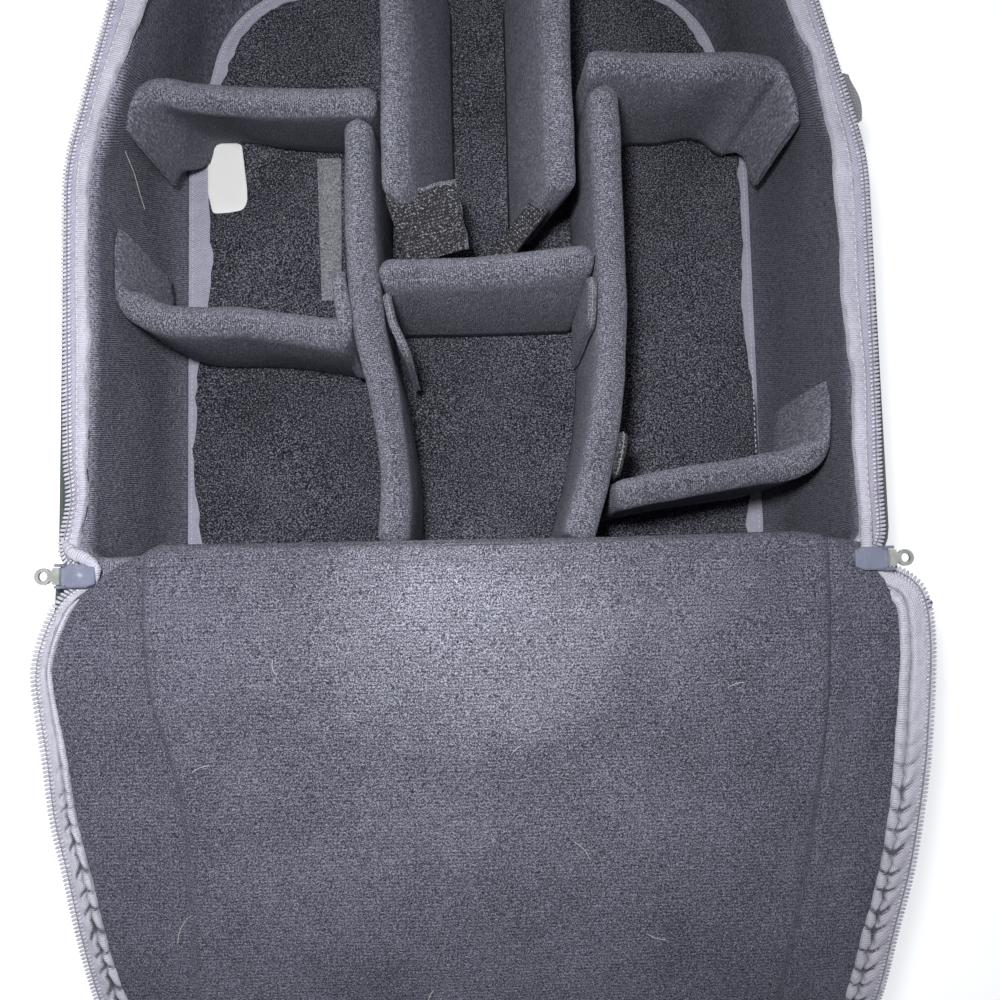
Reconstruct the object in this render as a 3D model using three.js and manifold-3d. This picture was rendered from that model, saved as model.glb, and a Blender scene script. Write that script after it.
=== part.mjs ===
// Camera backpack, lying on its front with its back panel unzipped and folded down.
// Millimetres. +Z points out of the opening, +Y to the pack's arched top, +X to its right side.
// The origin is the centre of the front panel's flat outer face, which the pack lies on.
// Places along the pack are given as t, the distance from the hinge towards the arched top.

import * as THREE from 'three';
import { mergeVertices } from 'three/addons/utils/BufferGeometryUtils.js';
import Module from 'manifold-3d';

// Pack body
const packWidth = 292;
const floorSpread = 4;
const packLength = 308;
const packDepth = 150;
const taperStart = 150;
const floorTaperStart = 215;
const taperDegrees = 14;
const hingeCornerRadius = 14;
const shoulderRadius = 90;
const archRadius = 72;
const floorArchRadius = 62;
const sideBulge = 2.5;
const bottomEdgeRadius = 13;

// Walls and gaps
const shellWall = 2;
const wallPadding = 8;
const floorPadding = 12;
const clearance = 0.3;

// Zip and trim round the opening
const coilWidth = 3.4;
const coilHeight = 2.6;
const tapeWidth = 7.6;
const tapeThickness = 0.8;
const bindingWidth = 6.6;
const bindingThickness = 1.2;

// Back panel, folded down as a flap
const flapReach = 285;
const flapOverhang = 12.5;
const flapHingeInset = 8.1;
const flapDrop = 130;
const flapInnerLap = 10;
const flapLiningThickness = 8;
const flapGussetThickness = 4;
const flapShellThickness = 2;
const flapPanelInset = 30;

// Dividers
const dividerThickness = 12;
const dividerTop = 123;
const cradleThickness = 12;
const hookTabThickness = 2.4;
const hookTabLength = 22;
const seamTapeWidth = 8;

// Side pockets and webbing
const pocketDepth = 15;
const pocketHeight = 104;
const pocketLift = 14;
const pocketStart = 10;
const pocketEnd = 172;
const sideTabLength = 18;

// Shoulder straps
const strapWidth = 58;
const strapThickness = 12;
const strapLength = 150;
const strapSpacing = 116;
const webbingWidth = 25;
const webbingThickness = 1.6;
const buckleLength = 30;
const buckleThickness = 6;
const anchorWidth = 42;
const anchorLength = 40;
const anchorOverhang = 6;
const anchorThickness = 1.4;

// Zip sliders
const sliderLength = 12.5;
const sliderWidth = 8;
const sliderPlate = 1.3;
const sliderGap = 2.2;
const sliderInset = 14.5;
const pullLength = 7.6;
const pullWidth = 5.8;
const pullThickness = 1.6;
const lugThickness = 1;

// Card on the floor
const labelWidth = 19;
const labelLength = 36;
const cardThickness = 0.8;
const stripWidth = 11.5;
const stripLength = 70;

// Sizes that follow from those above
const floorWidth = packWidth + floorSpread;
const flapHalfWidth = packWidth / 2 + flapOverhang;
const hingeHalf = packWidth / 2 - flapHingeInset;
const floorTop = shellWall + clearance + floorPadding;
const dividerFoot = floorTop + clearance + tapeThickness + clearance;
const wallTop = packDepth - coilHeight - clearance - tapeThickness - clearance;
const hingeY = -packLength / 2;

function finish(color, roughness, metalness = 0) {
  return new THREE.MeshStandardMaterial({ color, roughness, metalness });
}
const loopKnit = finish(0x4a4b56, 0.95);
const liningKnit = finish(0x6d6e7a, 0.95);
const packCloth = finish(0x59645f, 0.85);
const lilacTape = finish(0xcfcbdd, 0.8);
const lilacBinding = finish(0xbdbbcb, 0.85);
const hookTape = finish(0x2c2c33, 0.9);
const greyWebbing = finish(0xa0a1ac, 0.85);
const whiteCard = finish(0xf4f4f2, 0.6);
const zipCoil = finish(0xc8c6d4, 0.45);
const sliderEnamel = finish(0xa5a8bf, 0.4, 0.3);
const bucklePlastic = finish(0x26282b, 0.5);

const pack = new THREE.Group();

// A solid skin over a row of rings that have the same number of [x, y, z] points.
// A closed row joins its last ring to its first, and an open one has a cap at each end.
function skin(rings, closedRow = false) {
  const count = rings[0].length;
  const points = rings.flat();
  const triangles = [];
  const spans = closedRow ? rings.length : rings.length - 1;
  for (let r = 0; r < spans; r += 1) {
    const here = r * count;
    const there = ((r + 1) % rings.length) * count;
    for (let i = 0; i < count; i += 1) {
      const j = (i + 1) % count;
      triangles.push([here + i, here + j, there + j], [here + i, there + j, there + i]);
    }
  }
  if (!closedRow) {
    addCap(points, triangles, 0, count, true);
    addCap(points, triangles, (rings.length - 1) * count, count, false);
  }
  return solidGeometry(points, triangles);
}

// A fan of triangles from the middle of a ring.
function addCap(points, triangles, first, count, reversed) {
  const middle = [0, 1, 2].map((axis) => {
    let sum = 0;
    for (let i = 0; i < count; i += 1) sum += points[first + i][axis];
    return sum / count;
  });
  const hub = points.push(middle) - 1;
  for (let i = 0; i < count; i += 1) {
    const a = first + i;
    const b = first + ((i + 1) % count);
    triangles.push(reversed ? [hub, b, a] : [hub, a, b]);
  }
}

// The triangles as a geometry whose faces point out.
function solidGeometry(points, triangles) {
  let volume = 0;
  for (const [a, b, c] of triangles) {
    const [p, q, s] = [points[a], points[b], points[c]];
    volume += p[0] * (q[1] * s[2] - q[2] * s[1]);
    volume += p[1] * (q[2] * s[0] - q[0] * s[2]);
    volume += p[2] * (q[0] * s[1] - q[1] * s[0]);
  }
  const index = volume > 0 ? triangles.flat() : triangles.flatMap(([a, b, c]) => [a, c, b]);
  const geometry = new THREE.BufferGeometry();
  geometry.setAttribute('position', new THREE.Float32BufferAttribute(points.flat(), 3));
  geometry.setIndex(index);
  return geometry;
}

function addPart(name, geometry, material) {
  const mesh = new THREE.Mesh(geometry, material);
  mesh.name = name;
  pack.add(mesh);
  return mesh;
}

// The value of a table's column at a place along its rows, on straight runs between them.
function readTable(rows, key, column, place) {
  const last = rows.length - 1;
  if (place <= rows[0][key]) return rows[0][column];
  if (place >= rows[last][key]) return rows[last][column];
  const next = rows.findIndex((row) => row[key] >= place);
  const [low, high] = [rows[next - 1], rows[next]];
  const share = (place - low[key]) / (high[key] - low[key]);
  return low[column] + share * (high[column] - low[column]);
}

// The outline of the pack at one height: corners joined by straight sides, each rounded to its radius.
// Every sample has its place and the direction that points into the pack.
// The steps of the hinge corner are even, so that one sample falls on its middle.
const hingeSteps = 4;
const slant = Math.tan(THREE.MathUtils.degToRad(taperDegrees));
function outlineSamples({ half, slantStart, arch }) {
  const topHalf = half - (packLength - slantStart) * slant;
  const corners = [
    { x: -half, t: 0, radius: hingeCornerRadius, steps: hingeSteps },
    { x: -half, t: slantStart, radius: shoulderRadius, steps: 2 },
    { x: -topHalf, t: packLength, radius: arch, steps: 7 },
    { x: topHalf, t: packLength, radius: arch, steps: 7 },
    { x: half, t: slantStart, radius: shoulderRadius, steps: 2 },
    { x: half, t: 0, radius: hingeCornerRadius, steps: hingeSteps },
  ];
  return corners.flatMap((corner, i) => {
    const before = corners[(i + corners.length - 1) % corners.length];
    const after = corners[(i + 1) % corners.length];
    const arriving = new THREE.Vector2(corner.x - before.x, corner.t - before.t).normalize();
    const leaving = new THREE.Vector2(after.x - corner.x, after.t - corner.t).normalize();
    const turn = Math.acos(THREE.MathUtils.clamp(arriving.dot(leaving), -1, 1));
    const setBack = corner.radius * Math.tan(turn / 2);
    const inward = new THREE.Vector2(arriving.y, -arriving.x);
    const centre = new THREE.Vector2(corner.x, corner.t);
    centre.addScaledVector(arriving, -setBack).addScaledVector(inward, corner.radius);
    return Array.from({ length: corner.steps + 1 }, (_, k) => {
      const radial = inward.clone().rotateAround(new THREE.Vector2(), -turn * (k / corner.steps));
      const place = centre.clone().addScaledVector(radial, -corner.radius);
      return { x: place.x, t: place.y, inX: radial.x, inT: radial.y };
    });
  });
}

// The opening narrows to the arch sooner than the floor does, so the upper walls lean inwards.
const rimOutline = outlineSamples({ half: packWidth / 2, slantStart: taperStart, arch: archRadius });
const floorOutline = outlineSamples({
  half: floorWidth / 2, slantStart: floorTaperStart, arch: floorArchRadius,
});
const mix = (low, high, share) => low + (high - low) * share;
const atT = (x, t, z) => [x, hingeY + t, z];
function ringAt(inset, z) {
  const share = z / wallTop;
  return rimOutline.map((rim, i) => {
    const floor = floorOutline[i];
    const between = (key) => mix(floor[key], rim[key], share);
    const inward = new THREE.Vector2(between('inX'), between('inT')).normalize();
    return atT(between('x') + inset * inward.x, between('t') + inset * inward.y, z);
  });
}

// How far the side walls stand in from the outline at each share of the depth.
const sideRows = [
  { height: 0, inset: bottomEdgeRadius },
  { height: 0.025, inset: bottomEdgeRadius * 0.45 },
  { height: 0.07, inset: bottomEdgeRadius * 0.12 },
  { height: 0.14, inset: -sideBulge * 0.35 },
  { height: 0.45, inset: -sideBulge },
  { height: 0.8, inset: -sideBulge * 0.6 },
  { height: 1, inset: 0 },
];
const wallLevels = sideRows.map((row) => ({ z: row.height * wallTop, inset: row.inset }));
const wallInset = (z) => readTable(wallLevels, 'z', 'inset', z);

// Shell: the outer cloth tub, open at the top.
const outerLevels = wallLevels.map(({ z, inset }) => ringAt(inset, z));
const innerLevels = wallLevels.slice(1).map(({ z, inset }) => ringAt(inset + shellWall, z)).reverse();
const innerFloor = ringAt(wallInset(shellWall) + shellWall, shellWall);
addPart('shell_body', skin([...outerLevels, ...innerLevels, innerFloor]), packCloth);

// Wall padding: a padded ring that lines the tub from its floor to the zip.
const padOuter = shellWall + clearance;
const padInner = padOuter + wallPadding;
const padLevels = wallLevels.slice(1);
const padRings = [
  ...padLevels.map(({ z, inset }) => ringAt(inset + padOuter, z)),
  ...padLevels.map(({ z, inset }) => ringAt(inset + padInner, z)).reverse(),
];
addPart('wall_padding', skin(padRings, true), loopKnit);

// Floor padding: the padded front panel, its edge following the foot of the walls.
const floorLevels = [
  { z: shellWall + clearance, room: 2 },
  { z: wallLevels[2].z, room: 1 },
  { z: floorTop - 2, room: 1 },
  { z: floorTop, room: 2 },
];
const floorEdge = (z) => wallInset(Math.max(z, padLevels[0].z)) + padInner;
addPart('floor_padding', skin(floorLevels.map(({ z, room }) => ringAt(floorEdge(z) + room, z))), loopKnit);

// Seam tape: the lilac strip that covers the joint of floor and walls.
const seamZ = floorTop + clearance;
const seamStart = floorEdge(seamZ) + 0.6;
const seamRings = [
  ringAt(seamStart, seamZ),
  ringAt(seamStart, seamZ + tapeThickness),
  ringAt(seamStart + seamTapeWidth, seamZ + tapeThickness),
  ringAt(seamStart + seamTapeWidth, seamZ),
];
addPart('floor_seam_tape', skin(seamRings, true), lilacTape);

// The zipped edge of the opening runs from one hinge corner round the arch to the other.
const rimPath = rimOutline.slice(hingeSteps / 2, rimOutline.length - hingeSteps / 2);

// A band along an edge path: its section is a list of [inset, rise] corners, laid at the height
// that heightAt gives for each t.
function edgeBand(path, section, heightAt) {
  return skin(path.map((p) => section.map(([inset, rise]) => {
    const [x, t] = [p.x + inset * p.inX, p.t + inset * p.inT];
    return atT(x, t, heightAt(t) + rise);
  })));
}

// Sections of the three trims, from the edge inwards: zip tape, coil on it,
// and binding over the tape's inner side.
const tapeSection = [[0.4, 0], [0.4, tapeThickness], [tapeWidth, tapeThickness], [tapeWidth, 0]];
const coilBase = tapeThickness + clearance;
const coilSection = [
  [0.2, coilBase + coilHeight * 0.5],
  [coilWidth * 0.3, coilBase + coilHeight],
  [coilWidth * 0.75, coilBase + coilHeight],
  [coilWidth, coilBase + coilHeight * 0.5],
  [coilWidth * 0.75, coilBase],
  [coilWidth * 0.3, coilBase],
];
const bindingStart = tapeWidth - 1;
const bindingSection = (rise) => [
  [bindingStart, rise],
  [bindingStart, rise + bindingThickness],
  [bindingStart + bindingWidth * 0.7, rise + bindingThickness],
  [bindingStart + bindingWidth, rise + bindingThickness * 0.5],
  [bindingStart + bindingWidth, rise],
];
const rimZ = wallTop + clearance;
addPart('rim_zip_tape', edgeBand(rimPath, tapeSection, () => rimZ), lilacTape);
addPart('rim_zip_coil', edgeBand(rimPath, coilSection, () => rimZ), zipCoil);
const rimBinding = bindingSection(tapeThickness + clearance);
addPart('rim_binding', edgeBand(rimPath, rimBinding, () => rimZ), lilacBinding);

// Back panel: its half width and height at each share of its reach from the hinge.
// Near the hinge it flares from the room between the zip sliders to its full width.
const flaring = (share) => mix(hingeHalf, flapHalfWidth, share) / flapHalfWidth;
const flapRows = [
  { reach: 0, width: flaring(0), height: 1 },
  { reach: 0.03, width: flaring(0.58), height: 0.999 },
  { reach: 0.07, width: flaring(0.885), height: 0.994 },
  { reach: 0.14, width: 1, height: 0.984 },
  { reach: 0.25, width: 0.99, height: 0.95 },
  { reach: 0.37, width: 0.96, height: 0.9 },
  { reach: 0.54, width: 0.9, height: 0.78 },
  { reach: 0.67, width: 0.84, height: 0.62 },
  { reach: 0.79, width: 0.77, height: 0.425 },
  { reach: 0.88, width: 0.69, height: 0.25 },
  { reach: 0.94, width: 0.59, height: 0.12 },
  { reach: 0.98, width: 0.45, height: 0.035 },
  { reach: 1, width: 0.3, height: 0 },
];
const flapHigh = wallTop + clearance + flapLiningThickness + 1;
const flapShare = (t) => Math.max(0, -t) / flapReach;
function flapTopAt(t) {
  return flapHigh - flapDrop * (1 - readTable(flapRows, 'reach', 'height', flapShare(t)));
}
// Both edges turn up the panel at its far end, so that their trims meet in the middle.
const endInward = new THREE.Vector2(-0.45, 0.89).normalize();
const flapPath = flapRows.map((row, i) => {
  const before = flapRows[Math.max(0, i - 1)];
  const after = flapRows[Math.min(flapRows.length - 1, i + 1)];
  const outwards = (after.width - before.width) * flapHalfWidth;
  const run = new THREE.Vector2(outwards, (before.reach - after.reach) * flapReach).normalize();
  const inward = i === flapRows.length - 1 ? endInward : new THREE.Vector2(run.y, -run.x);
  return { x: row.width * flapHalfWidth, t: -row.reach * flapReach, inX: inward.x, inT: inward.y };
});
const mirrored = (path) => path.map((p) => ({ ...p, x: -p.x, inX: -p.inX })).reverse();
const flapEdge = [...flapPath.slice(1), ...mirrored(flapPath.slice(1))];

// Stations of the padded panel, from its lap inside the pack to its far end.
// It keeps its hinge width until it is past the zip sliders.
const flapBodyEdge = tapeWidth + clearance;
const sliderT = 2.5;
const pastSlider = sliderT - sliderWidth / 2 - clearance;
const lapHalf = packWidth / 2 - padInner - 4;
const flapStations = [
  { t: flapInnerLap, half: lapHalf - 2, thick: 0.35 },
  { t: flapInnerLap - 2.5, half: lapHalf, thick: 0.85 },
  { t: 0, half: flapPath[0].x - flapBodyEdge, thick: 1 },
  { t: pastSlider, half: flapPath[0].x - flapBodyEdge, thick: 1 },
  ...flapPath.slice(1).map((p) => ({
    t: p.t + flapBodyEdge * p.inT, half: p.x + flapBodyEdge * p.inX, thick: 1,
  })),
];

// Lining: a foam panel in the middle and a thinner gusset beyond a crease on each side.
const gussetDrop = flapLiningThickness - flapGussetThickness;
const liningSide = [
  { across: 1, rise: -gussetDrop - flapGussetThickness * 0.5 },
  { across: 0.985, rise: -gussetDrop },
  { across: 0.9, rise: -gussetDrop * 0.8 },
  { across: 0.5, rise: -gussetDrop * 0.6, crease: 1.03 },
  { across: 0.5, rise: -gussetDrop * 0.85, crease: 1 },
  { across: 0.5, rise: -gussetDrop * 0.1, crease: 0.95 },
  { across: 0.3, rise: 0 },
  { across: 0, rise: 0.6 },
];
const foamRows = [{ reach: 0.8, bulk: 1 }, { reach: 0.93, bulk: 0 }];
function liningRing({ t, half, thick }) {
  const bulk = readTable(foamRows, 'reach', 'bulk', flapShare(t));
  const panelHalf = packWidth / 2 - flapPanelInset;
  const creaseX = Math.min(panelHalf - Math.max(0, -t) * 0.075, half * 0.84);
  const top = liningSide.map(({ across, rise, crease }) => {
    const eased = Math.min(rise, rise * bulk - gussetDrop * (1 - bulk));
    return [crease ? creaseX * crease : across * half, eased * thick];
  });
  const base = [0.3, 0.9, 0.985].map((across) => [across * half, -flapLiningThickness * thick]);
  const right = [...base, ...top.slice(0, -1)];
  const left = right.map(([x, rise]) => [-x, rise]).reverse();
  const lift = flapTopAt(t) - (1 - thick) * flapLiningThickness * 0.5;
  return [...right, top[top.length - 1], ...left].map(([x, rise]) => atT(x, t, lift + rise));
}
addPart('flap_lining', skin(flapStations.map(liningRing)), liningKnit);

// Outer cloth of the panel, under the lining and clear of the pack's hinge wall.
const shellStart = -clearance - 0.4;
const shellStations = flapStations.slice(2).map((station, i) => (
  i === 0 ? { ...station, t: shellStart } : station
));
const flapShellRings = shellStations.map(({ t, half }) => {
  const top = flapTopAt(t) - flapLiningThickness - clearance;
  const low = top - flapShellThickness;
  const upper = [1, 0.6, -0.6, -1].map((across) => atT(across * half, t, top));
  const lower = [-0.995, -0.6, 0.6, 0.995].map((across) => atT(across * half, t, low));
  return [...upper, ...lower];
});
addPart('flap_shell', skin(flapShellRings), packCloth);

const gussetTopAt = (t) => flapTopAt(t) - gussetDrop;
const tapeDrop = flapGussetThickness * 0.5 + tapeThickness;
const flapTapeAt = (t) => gussetTopAt(t) - tapeDrop;
addPart('flap_zip_tape', edgeBand(flapEdge, tapeSection, flapTapeAt), lilacTape);
addPart('flap_zip_coil', edgeBand(flapEdge, coilSection, flapTapeAt), zipCoil);
addPart('flap_binding', edgeBand(flapEdge, bindingSection(clearance + 0.3), gussetTopAt), lilacBinding);

// A padded panel that stands on the floor, with a rounded top edge and softened ends.
// Each row gives the place of its foot and of its top: x, and t from the hinge.
function standingPanel(rows, thickness, foot, top) {
  const height = top - foot;
  const round = thickness / 2;
  const section = [
    [-0.42, 0], [0.42, 0], [0.5, 4 / height], [0.5, 1 - round / height],
    [0.36, 1 - (round * 0.3) / height], [0, 1], [-0.36, 1 - (round * 0.3) / height],
    [-0.5, 1 - round / height], [-0.5, 4 / height],
  ];
  const soft = thickness * 0.3;
  const places = rows.map((row) => ({ ...row, full: 1 }));
  const slide = (from, to, distance) => {
    const length = Math.hypot(to.topX - from.topX, to.topT - from.topT);
    const share = distance / length;
    const part = (key) => mix(from[key], to[key], share);
    return { footX: part('footX'), footT: part('footT'), topX: part('topX'), topT: part('topT') };
  };
  const last = places.length - 1;
  const stations = [
    { ...places[0], full: 0.6 },
    { ...slide(places[0], places[1], soft), full: 1 },
    ...places.slice(1, -1),
    { ...slide(places[last], places[last - 1], soft), full: 1 },
    { ...places[last], full: 0.6 },
  ];
  return skin(stations.map((place, i) => {
    const before = stations[Math.max(0, i - 1)];
    const after = stations[Math.min(stations.length - 1, i + 1)];
    const across = new THREE.Vector2(-(after.topT - before.topT), after.topX - before.topX).normalize();
    return section.map(([side, share]) => {
      const x = place.footX + (place.topX - place.footX) * share + across.x * side * thickness * place.full;
      const t = place.footT + (place.topT - place.footT) * share + across.y * side * thickness * place.full;
      return atT(x, t, foot + height * share);
    });
  }));
}

// Distance from the middle to the side wall at a place and height, on its outer or its padded inner face.
function sideFace(inset, t, z) {
  const ring = ringAt(wallInset(z) + inset, z).map(([x, y]) => ({ x, t: y - hingeY }));
  const right = ring.filter(({ x }) => x > 0).sort((p, q) => p.t - q.t);
  return readTable(right, 't', 'x', t);
}
const innerFace = (t, z) => sideFace(padInner, t, z);
const outerFace = (t, z) => sideFace(0, t, z);

// Long dividers: x as a share of the pack's half width, t as a share of its length.
const halfWidth = packWidth / 2;
const along = (share) => share * packLength;
const upright = (rows) => rows.map(({ x, t }) => ({ footX: x, footT: t, topX: x, topT: t }));
const longStart = padInner + clearance + sideBulge + 1;
const leftLong = upright([
  { x: -0.219 * halfWidth, t: longStart },
  { x: -0.212 * halfWidth, t: along(0.122) },
  { x: -0.237 * halfWidth, t: along(0.222) },
  { x: -0.276 * halfWidth, t: along(0.321) },
  { x: -0.297 * halfWidth, t: along(0.444) },
  { x: -0.296 * halfWidth, t: along(0.575) },
]);
const rightLong = upright([
  { x: 0.265 * halfWidth, t: longStart },
  { x: 0.31 * halfWidth, t: along(0.117) },
  { x: 0.347 * halfWidth, t: along(0.196) },
  { x: 0.373 * halfWidth, t: along(0.316) },
  { x: 0.374 * halfWidth, t: along(0.438) },
  { x: 0.366 * halfWidth, t: along(0.61) },
]);
function addDivider(name, rows, thickness = dividerThickness, foot = dividerFoot) {
  addPart(name, standingPanel(rows, thickness, foot, dividerTop), loopKnit);
}
addDivider('left_long_divider', leftLong);
addDivider('right_long_divider', rightLong);

// Cross dividers run between a long divider and a side wall; t is given for their top and their foot.
const beside = dividerThickness / 2 + clearance + 0.4;
const leftLongX = (t) => readTable(leftLong, 'topT', 'topX', t);
const rightLongX = (t) => readTable(rightLong, 'topT', 'topX', t);
const cross = (rows) => rows.map(({ x, top, foot }) => (
  { footX: x, topX: x, topT: along(top), footT: along(foot) }
));
const wallRoom = clearance + 1;
// The low dividers stop short of the slanted long ones by these amounts.
const leftEndRoom = 1.6;
const rightEndRoom = 3.4;
function atWall(side, top, foot) {
  const topX = side * (innerFace(along(top) + dividerThickness, dividerTop) - wallRoom);
  const footX = side * (innerFace(along(foot) + dividerThickness, dividerFoot) - wallRoom);
  return { topX, footX, topT: along(top), footT: along(foot) };
}
addDivider('top_left_divider', [
  atWall(-1, 0.622, 0.735),
  ...cross([
    { x: -0.6 * halfWidth, top: 0.612, foot: 0.708 },
    { x: -0.27 * halfWidth, top: 0.605, foot: 0.695 },
  ]),
]);
addDivider('top_right_divider', [
  ...cross([
    { x: 0.34 * halfWidth, top: 0.655, foot: 0.705 },
    { x: 0.6 * halfWidth, top: 0.65, foot: 0.705 },
  ]),
  atWall(1, 0.645, 0.7),
]);
addDivider('low_left_divider', [
  atWall(-1, 0.34, 0.35),
  ...cross([
    { x: -0.6 * halfWidth, top: 0.317, foot: 0.327 },
    { x: leftLongX(along(0.286)) - beside - leftEndRoom, top: 0.286, foot: 0.296 },
  ]),
]);
addDivider('low_right_divider', [
  ...cross([
    { x: rightLongX(along(0.11)) + beside + rightEndRoom, top: 0.098, foot: 0.104 },
    { x: 0.55 * halfWidth, top: 0.112, foot: 0.12 },
    { x: 0.75 * halfWidth, top: 0.126, foot: 0.132 },
  ]),
  atWall(1, 0.142, 0.146),
]);
addDivider('centre_divider', cross([
  { x: leftLongX(along(0.39)) + beside, top: 0.383, foot: 0.4 },
  { x: 0.03 * halfWidth, top: 0.388, foot: 0.4 },
  { x: rightLongX(along(0.4)) - beside, top: 0.4, foot: 0.402 },
]));

// Cradle: two padded wings that lean apart from the floor and hold a camera by its lens.
const wingStart = along(0.487);
const wingEnd = packLength - padInner - sideBulge - dividerThickness;
const wing = (footX, topX, startLean) => [
  { footX: footX * halfWidth, topX: topX * halfWidth, footT: wingStart + startLean, topT: wingStart },
  { footX: footX * halfWidth, topX: topX * halfWidth, footT: along(0.64), topT: along(0.62) },
  { footX: footX * halfWidth, topX: topX * halfWidth, footT: wingEnd, topT: wingEnd },
];
const wingFoot = floorTop + clearance;
addDivider('left_cradle_wing', wing(-0.088, -0.203, along(0.02)), cradleThickness, wingFoot);
addDivider('right_cradle_wing', wing(0.162, 0.247, along(0.042)), cradleThickness, wingFoot);

// Hook tabs: the thin ends that the dividers are stuck down by, standing against a wall or a divider.
const tabLow = 0.3 * packDepth;
const tabHigh = dividerTop - 1;
const tabRoom = clearance + hookTabThickness / 2;
const tabGap = dividerThickness / 2 + clearance + 0.7;
function hookTab(name, rows, material = loopKnit) {
  addPart(name, standingPanel(rows, hookTabThickness, tabLow, tabHigh), material);
}
function wallTab(name, side, start, length) {
  hookTab(name, [start, start + length].map((t) => ({
    topX: side * (innerFace(t, tabHigh) - tabRoom),
    footX: side * (innerFace(t, tabLow) - tabRoom),
    topT: t,
    footT: t,
  })));
}
wallTab('low_left_wall_tab', -1, along(0.352) + tabGap, hookTabLength);
wallTab('low_right_wall_tab', 1, along(0.15) + tabGap, hookTabLength * 0.9);
wallTab('top_right_wall_tab', 1, along(0.57), hookTabLength * 0.86);
const leftOfLong = (t) => leftLongX(t) - dividerThickness / 2 - tabRoom - 0.3;
const rightOfLong = (t) => rightLongX(t) + dividerThickness / 2 + tabRoom + 0.4;
function standTab(name, places, material) {
  hookTab(name, upright(places.map(([x, t]) => ({ x, t }))), material);
}
const lowLeftInner = along(0.292) + tabGap;
const lowLeftOuter = lowLeftInner + hookTabLength;
standTab('low_left_hook_tab', [lowLeftInner, lowLeftOuter].map((t) => [leftOfLong(t), t]));
const lowRightInner = along(0.102) + tabGap;
const lowRightOuter = lowRightInner + hookTabLength * 0.73;
standTab('low_right_hook_tab', [lowRightInner, lowRightOuter].map((t) => [rightOfLong(t), t]), hookTape);
const centreLeft = along(0.383) - tabGap;
const centreLeftEnd = centreLeft - hookTabLength * 1.18;
standTab('centre_left_hook_tab', [
  [leftLongX(centreLeft) + beside + hookTabThickness * 0.5, centreLeft],
  [leftLongX(centreLeftEnd) + beside + hookTabThickness * 1.08, centreLeftEnd],
]);
const centreRight = along(0.4) - tabGap;
const centreRightEnd = centreRight - hookTabLength * 0.9;
const besideRight = beside + hookTabThickness * 0.5;
standTab('centre_right_hook_tab', [
  [rightLongX(centreRight) - besideRight, centreRight],
  [rightLongX(centreRightEnd) - besideRight, centreRightEnd],
]);

// Flat straps between the cradle and the centre divider, laid as thin leaning sheets.
function leaningStrap(name, near, far, width, thickness, material) {
  const run = new THREE.Vector3(far.x - near.x, far.t - near.t, far.z - near.z).normalize();
  const side = new THREE.Vector3(run.y, -run.x, 0).normalize();
  const up = new THREE.Vector3().crossVectors(side, run).normalize();
  const ring = ({ x, t, z }) => [[-0.5, 0], [0.5, 0], [0.5, 1], [-0.5, 1]].map(([s, u]) => atT(
    x + side.x * s * width + up.x * u * thickness,
    t + side.y * s * width + up.y * u * thickness,
    z + side.z * s * width + up.z * u * thickness,
  ));
  addPart(name, skin([ring(near), ring(far)]), material);
}
const centreBack = along(0.4) + dividerThickness / 2 + 1.3;
leaningStrap(
  'cradle_hook_tab',
  { x: -0.1 * halfWidth, t: centreBack, z: 0.62 * packDepth },
  { x: -0.138 * halfWidth, t: wingStart - 2.4, z: 0.68 * packDepth },
  0.17 * halfWidth, hookTabThickness, hookTape,
);
leaningStrap(
  'cradle_hook_strip',
  { x: 0.06 * halfWidth, t: centreBack, z: 0.487 * packDepth },
  { x: 0.16 * halfWidth, t: wingStart + 1, z: 0.527 * packDepth },
  0.05 * halfWidth, hookTabThickness, hookTape,
);

// Flat cards on the floor: the bare white label and the pale strip.
function floorCard(name, centreX, centreT, width, length, low, material) {
  const corner = Math.min(width, length) * 0.18;
  const shape = new THREE.Shape();
  const [w, l] = [width / 2, length / 2];
  shape.moveTo(-w + corner, -l);
  shape.lineTo(w - corner, -l);
  shape.quadraticCurveTo(w, -l, w, -l + corner);
  shape.lineTo(w, l - corner);
  shape.quadraticCurveTo(w, l, w - corner, l);
  shape.lineTo(-w + corner, l);
  shape.quadraticCurveTo(-w, l, -w, l - corner);
  shape.lineTo(-w, -l + corner);
  shape.quadraticCurveTo(-w, -l, -w + corner, -l);
  const geometry = new THREE.ExtrudeGeometry(shape, {
    depth: cardThickness, bevelEnabled: false, curveSegments: 3,
  });
  const mesh = addPart(name, geometry, material);
  mesh.position.set(centreX, hingeY + centreT, low);
}
const labelX = -(innerFace(along(0.645), seamZ) - seamTapeWidth - labelWidth / 2);
const labelZ = seamZ + tapeThickness + clearance;
floorCard('floor_label', labelX, along(0.645), labelWidth, labelLength, labelZ, whiteCard);
floorCard('floor_strip', -0.47 * halfWidth, along(0.56), stripWidth, stripLength, seamZ, greyWebbing);

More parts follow.
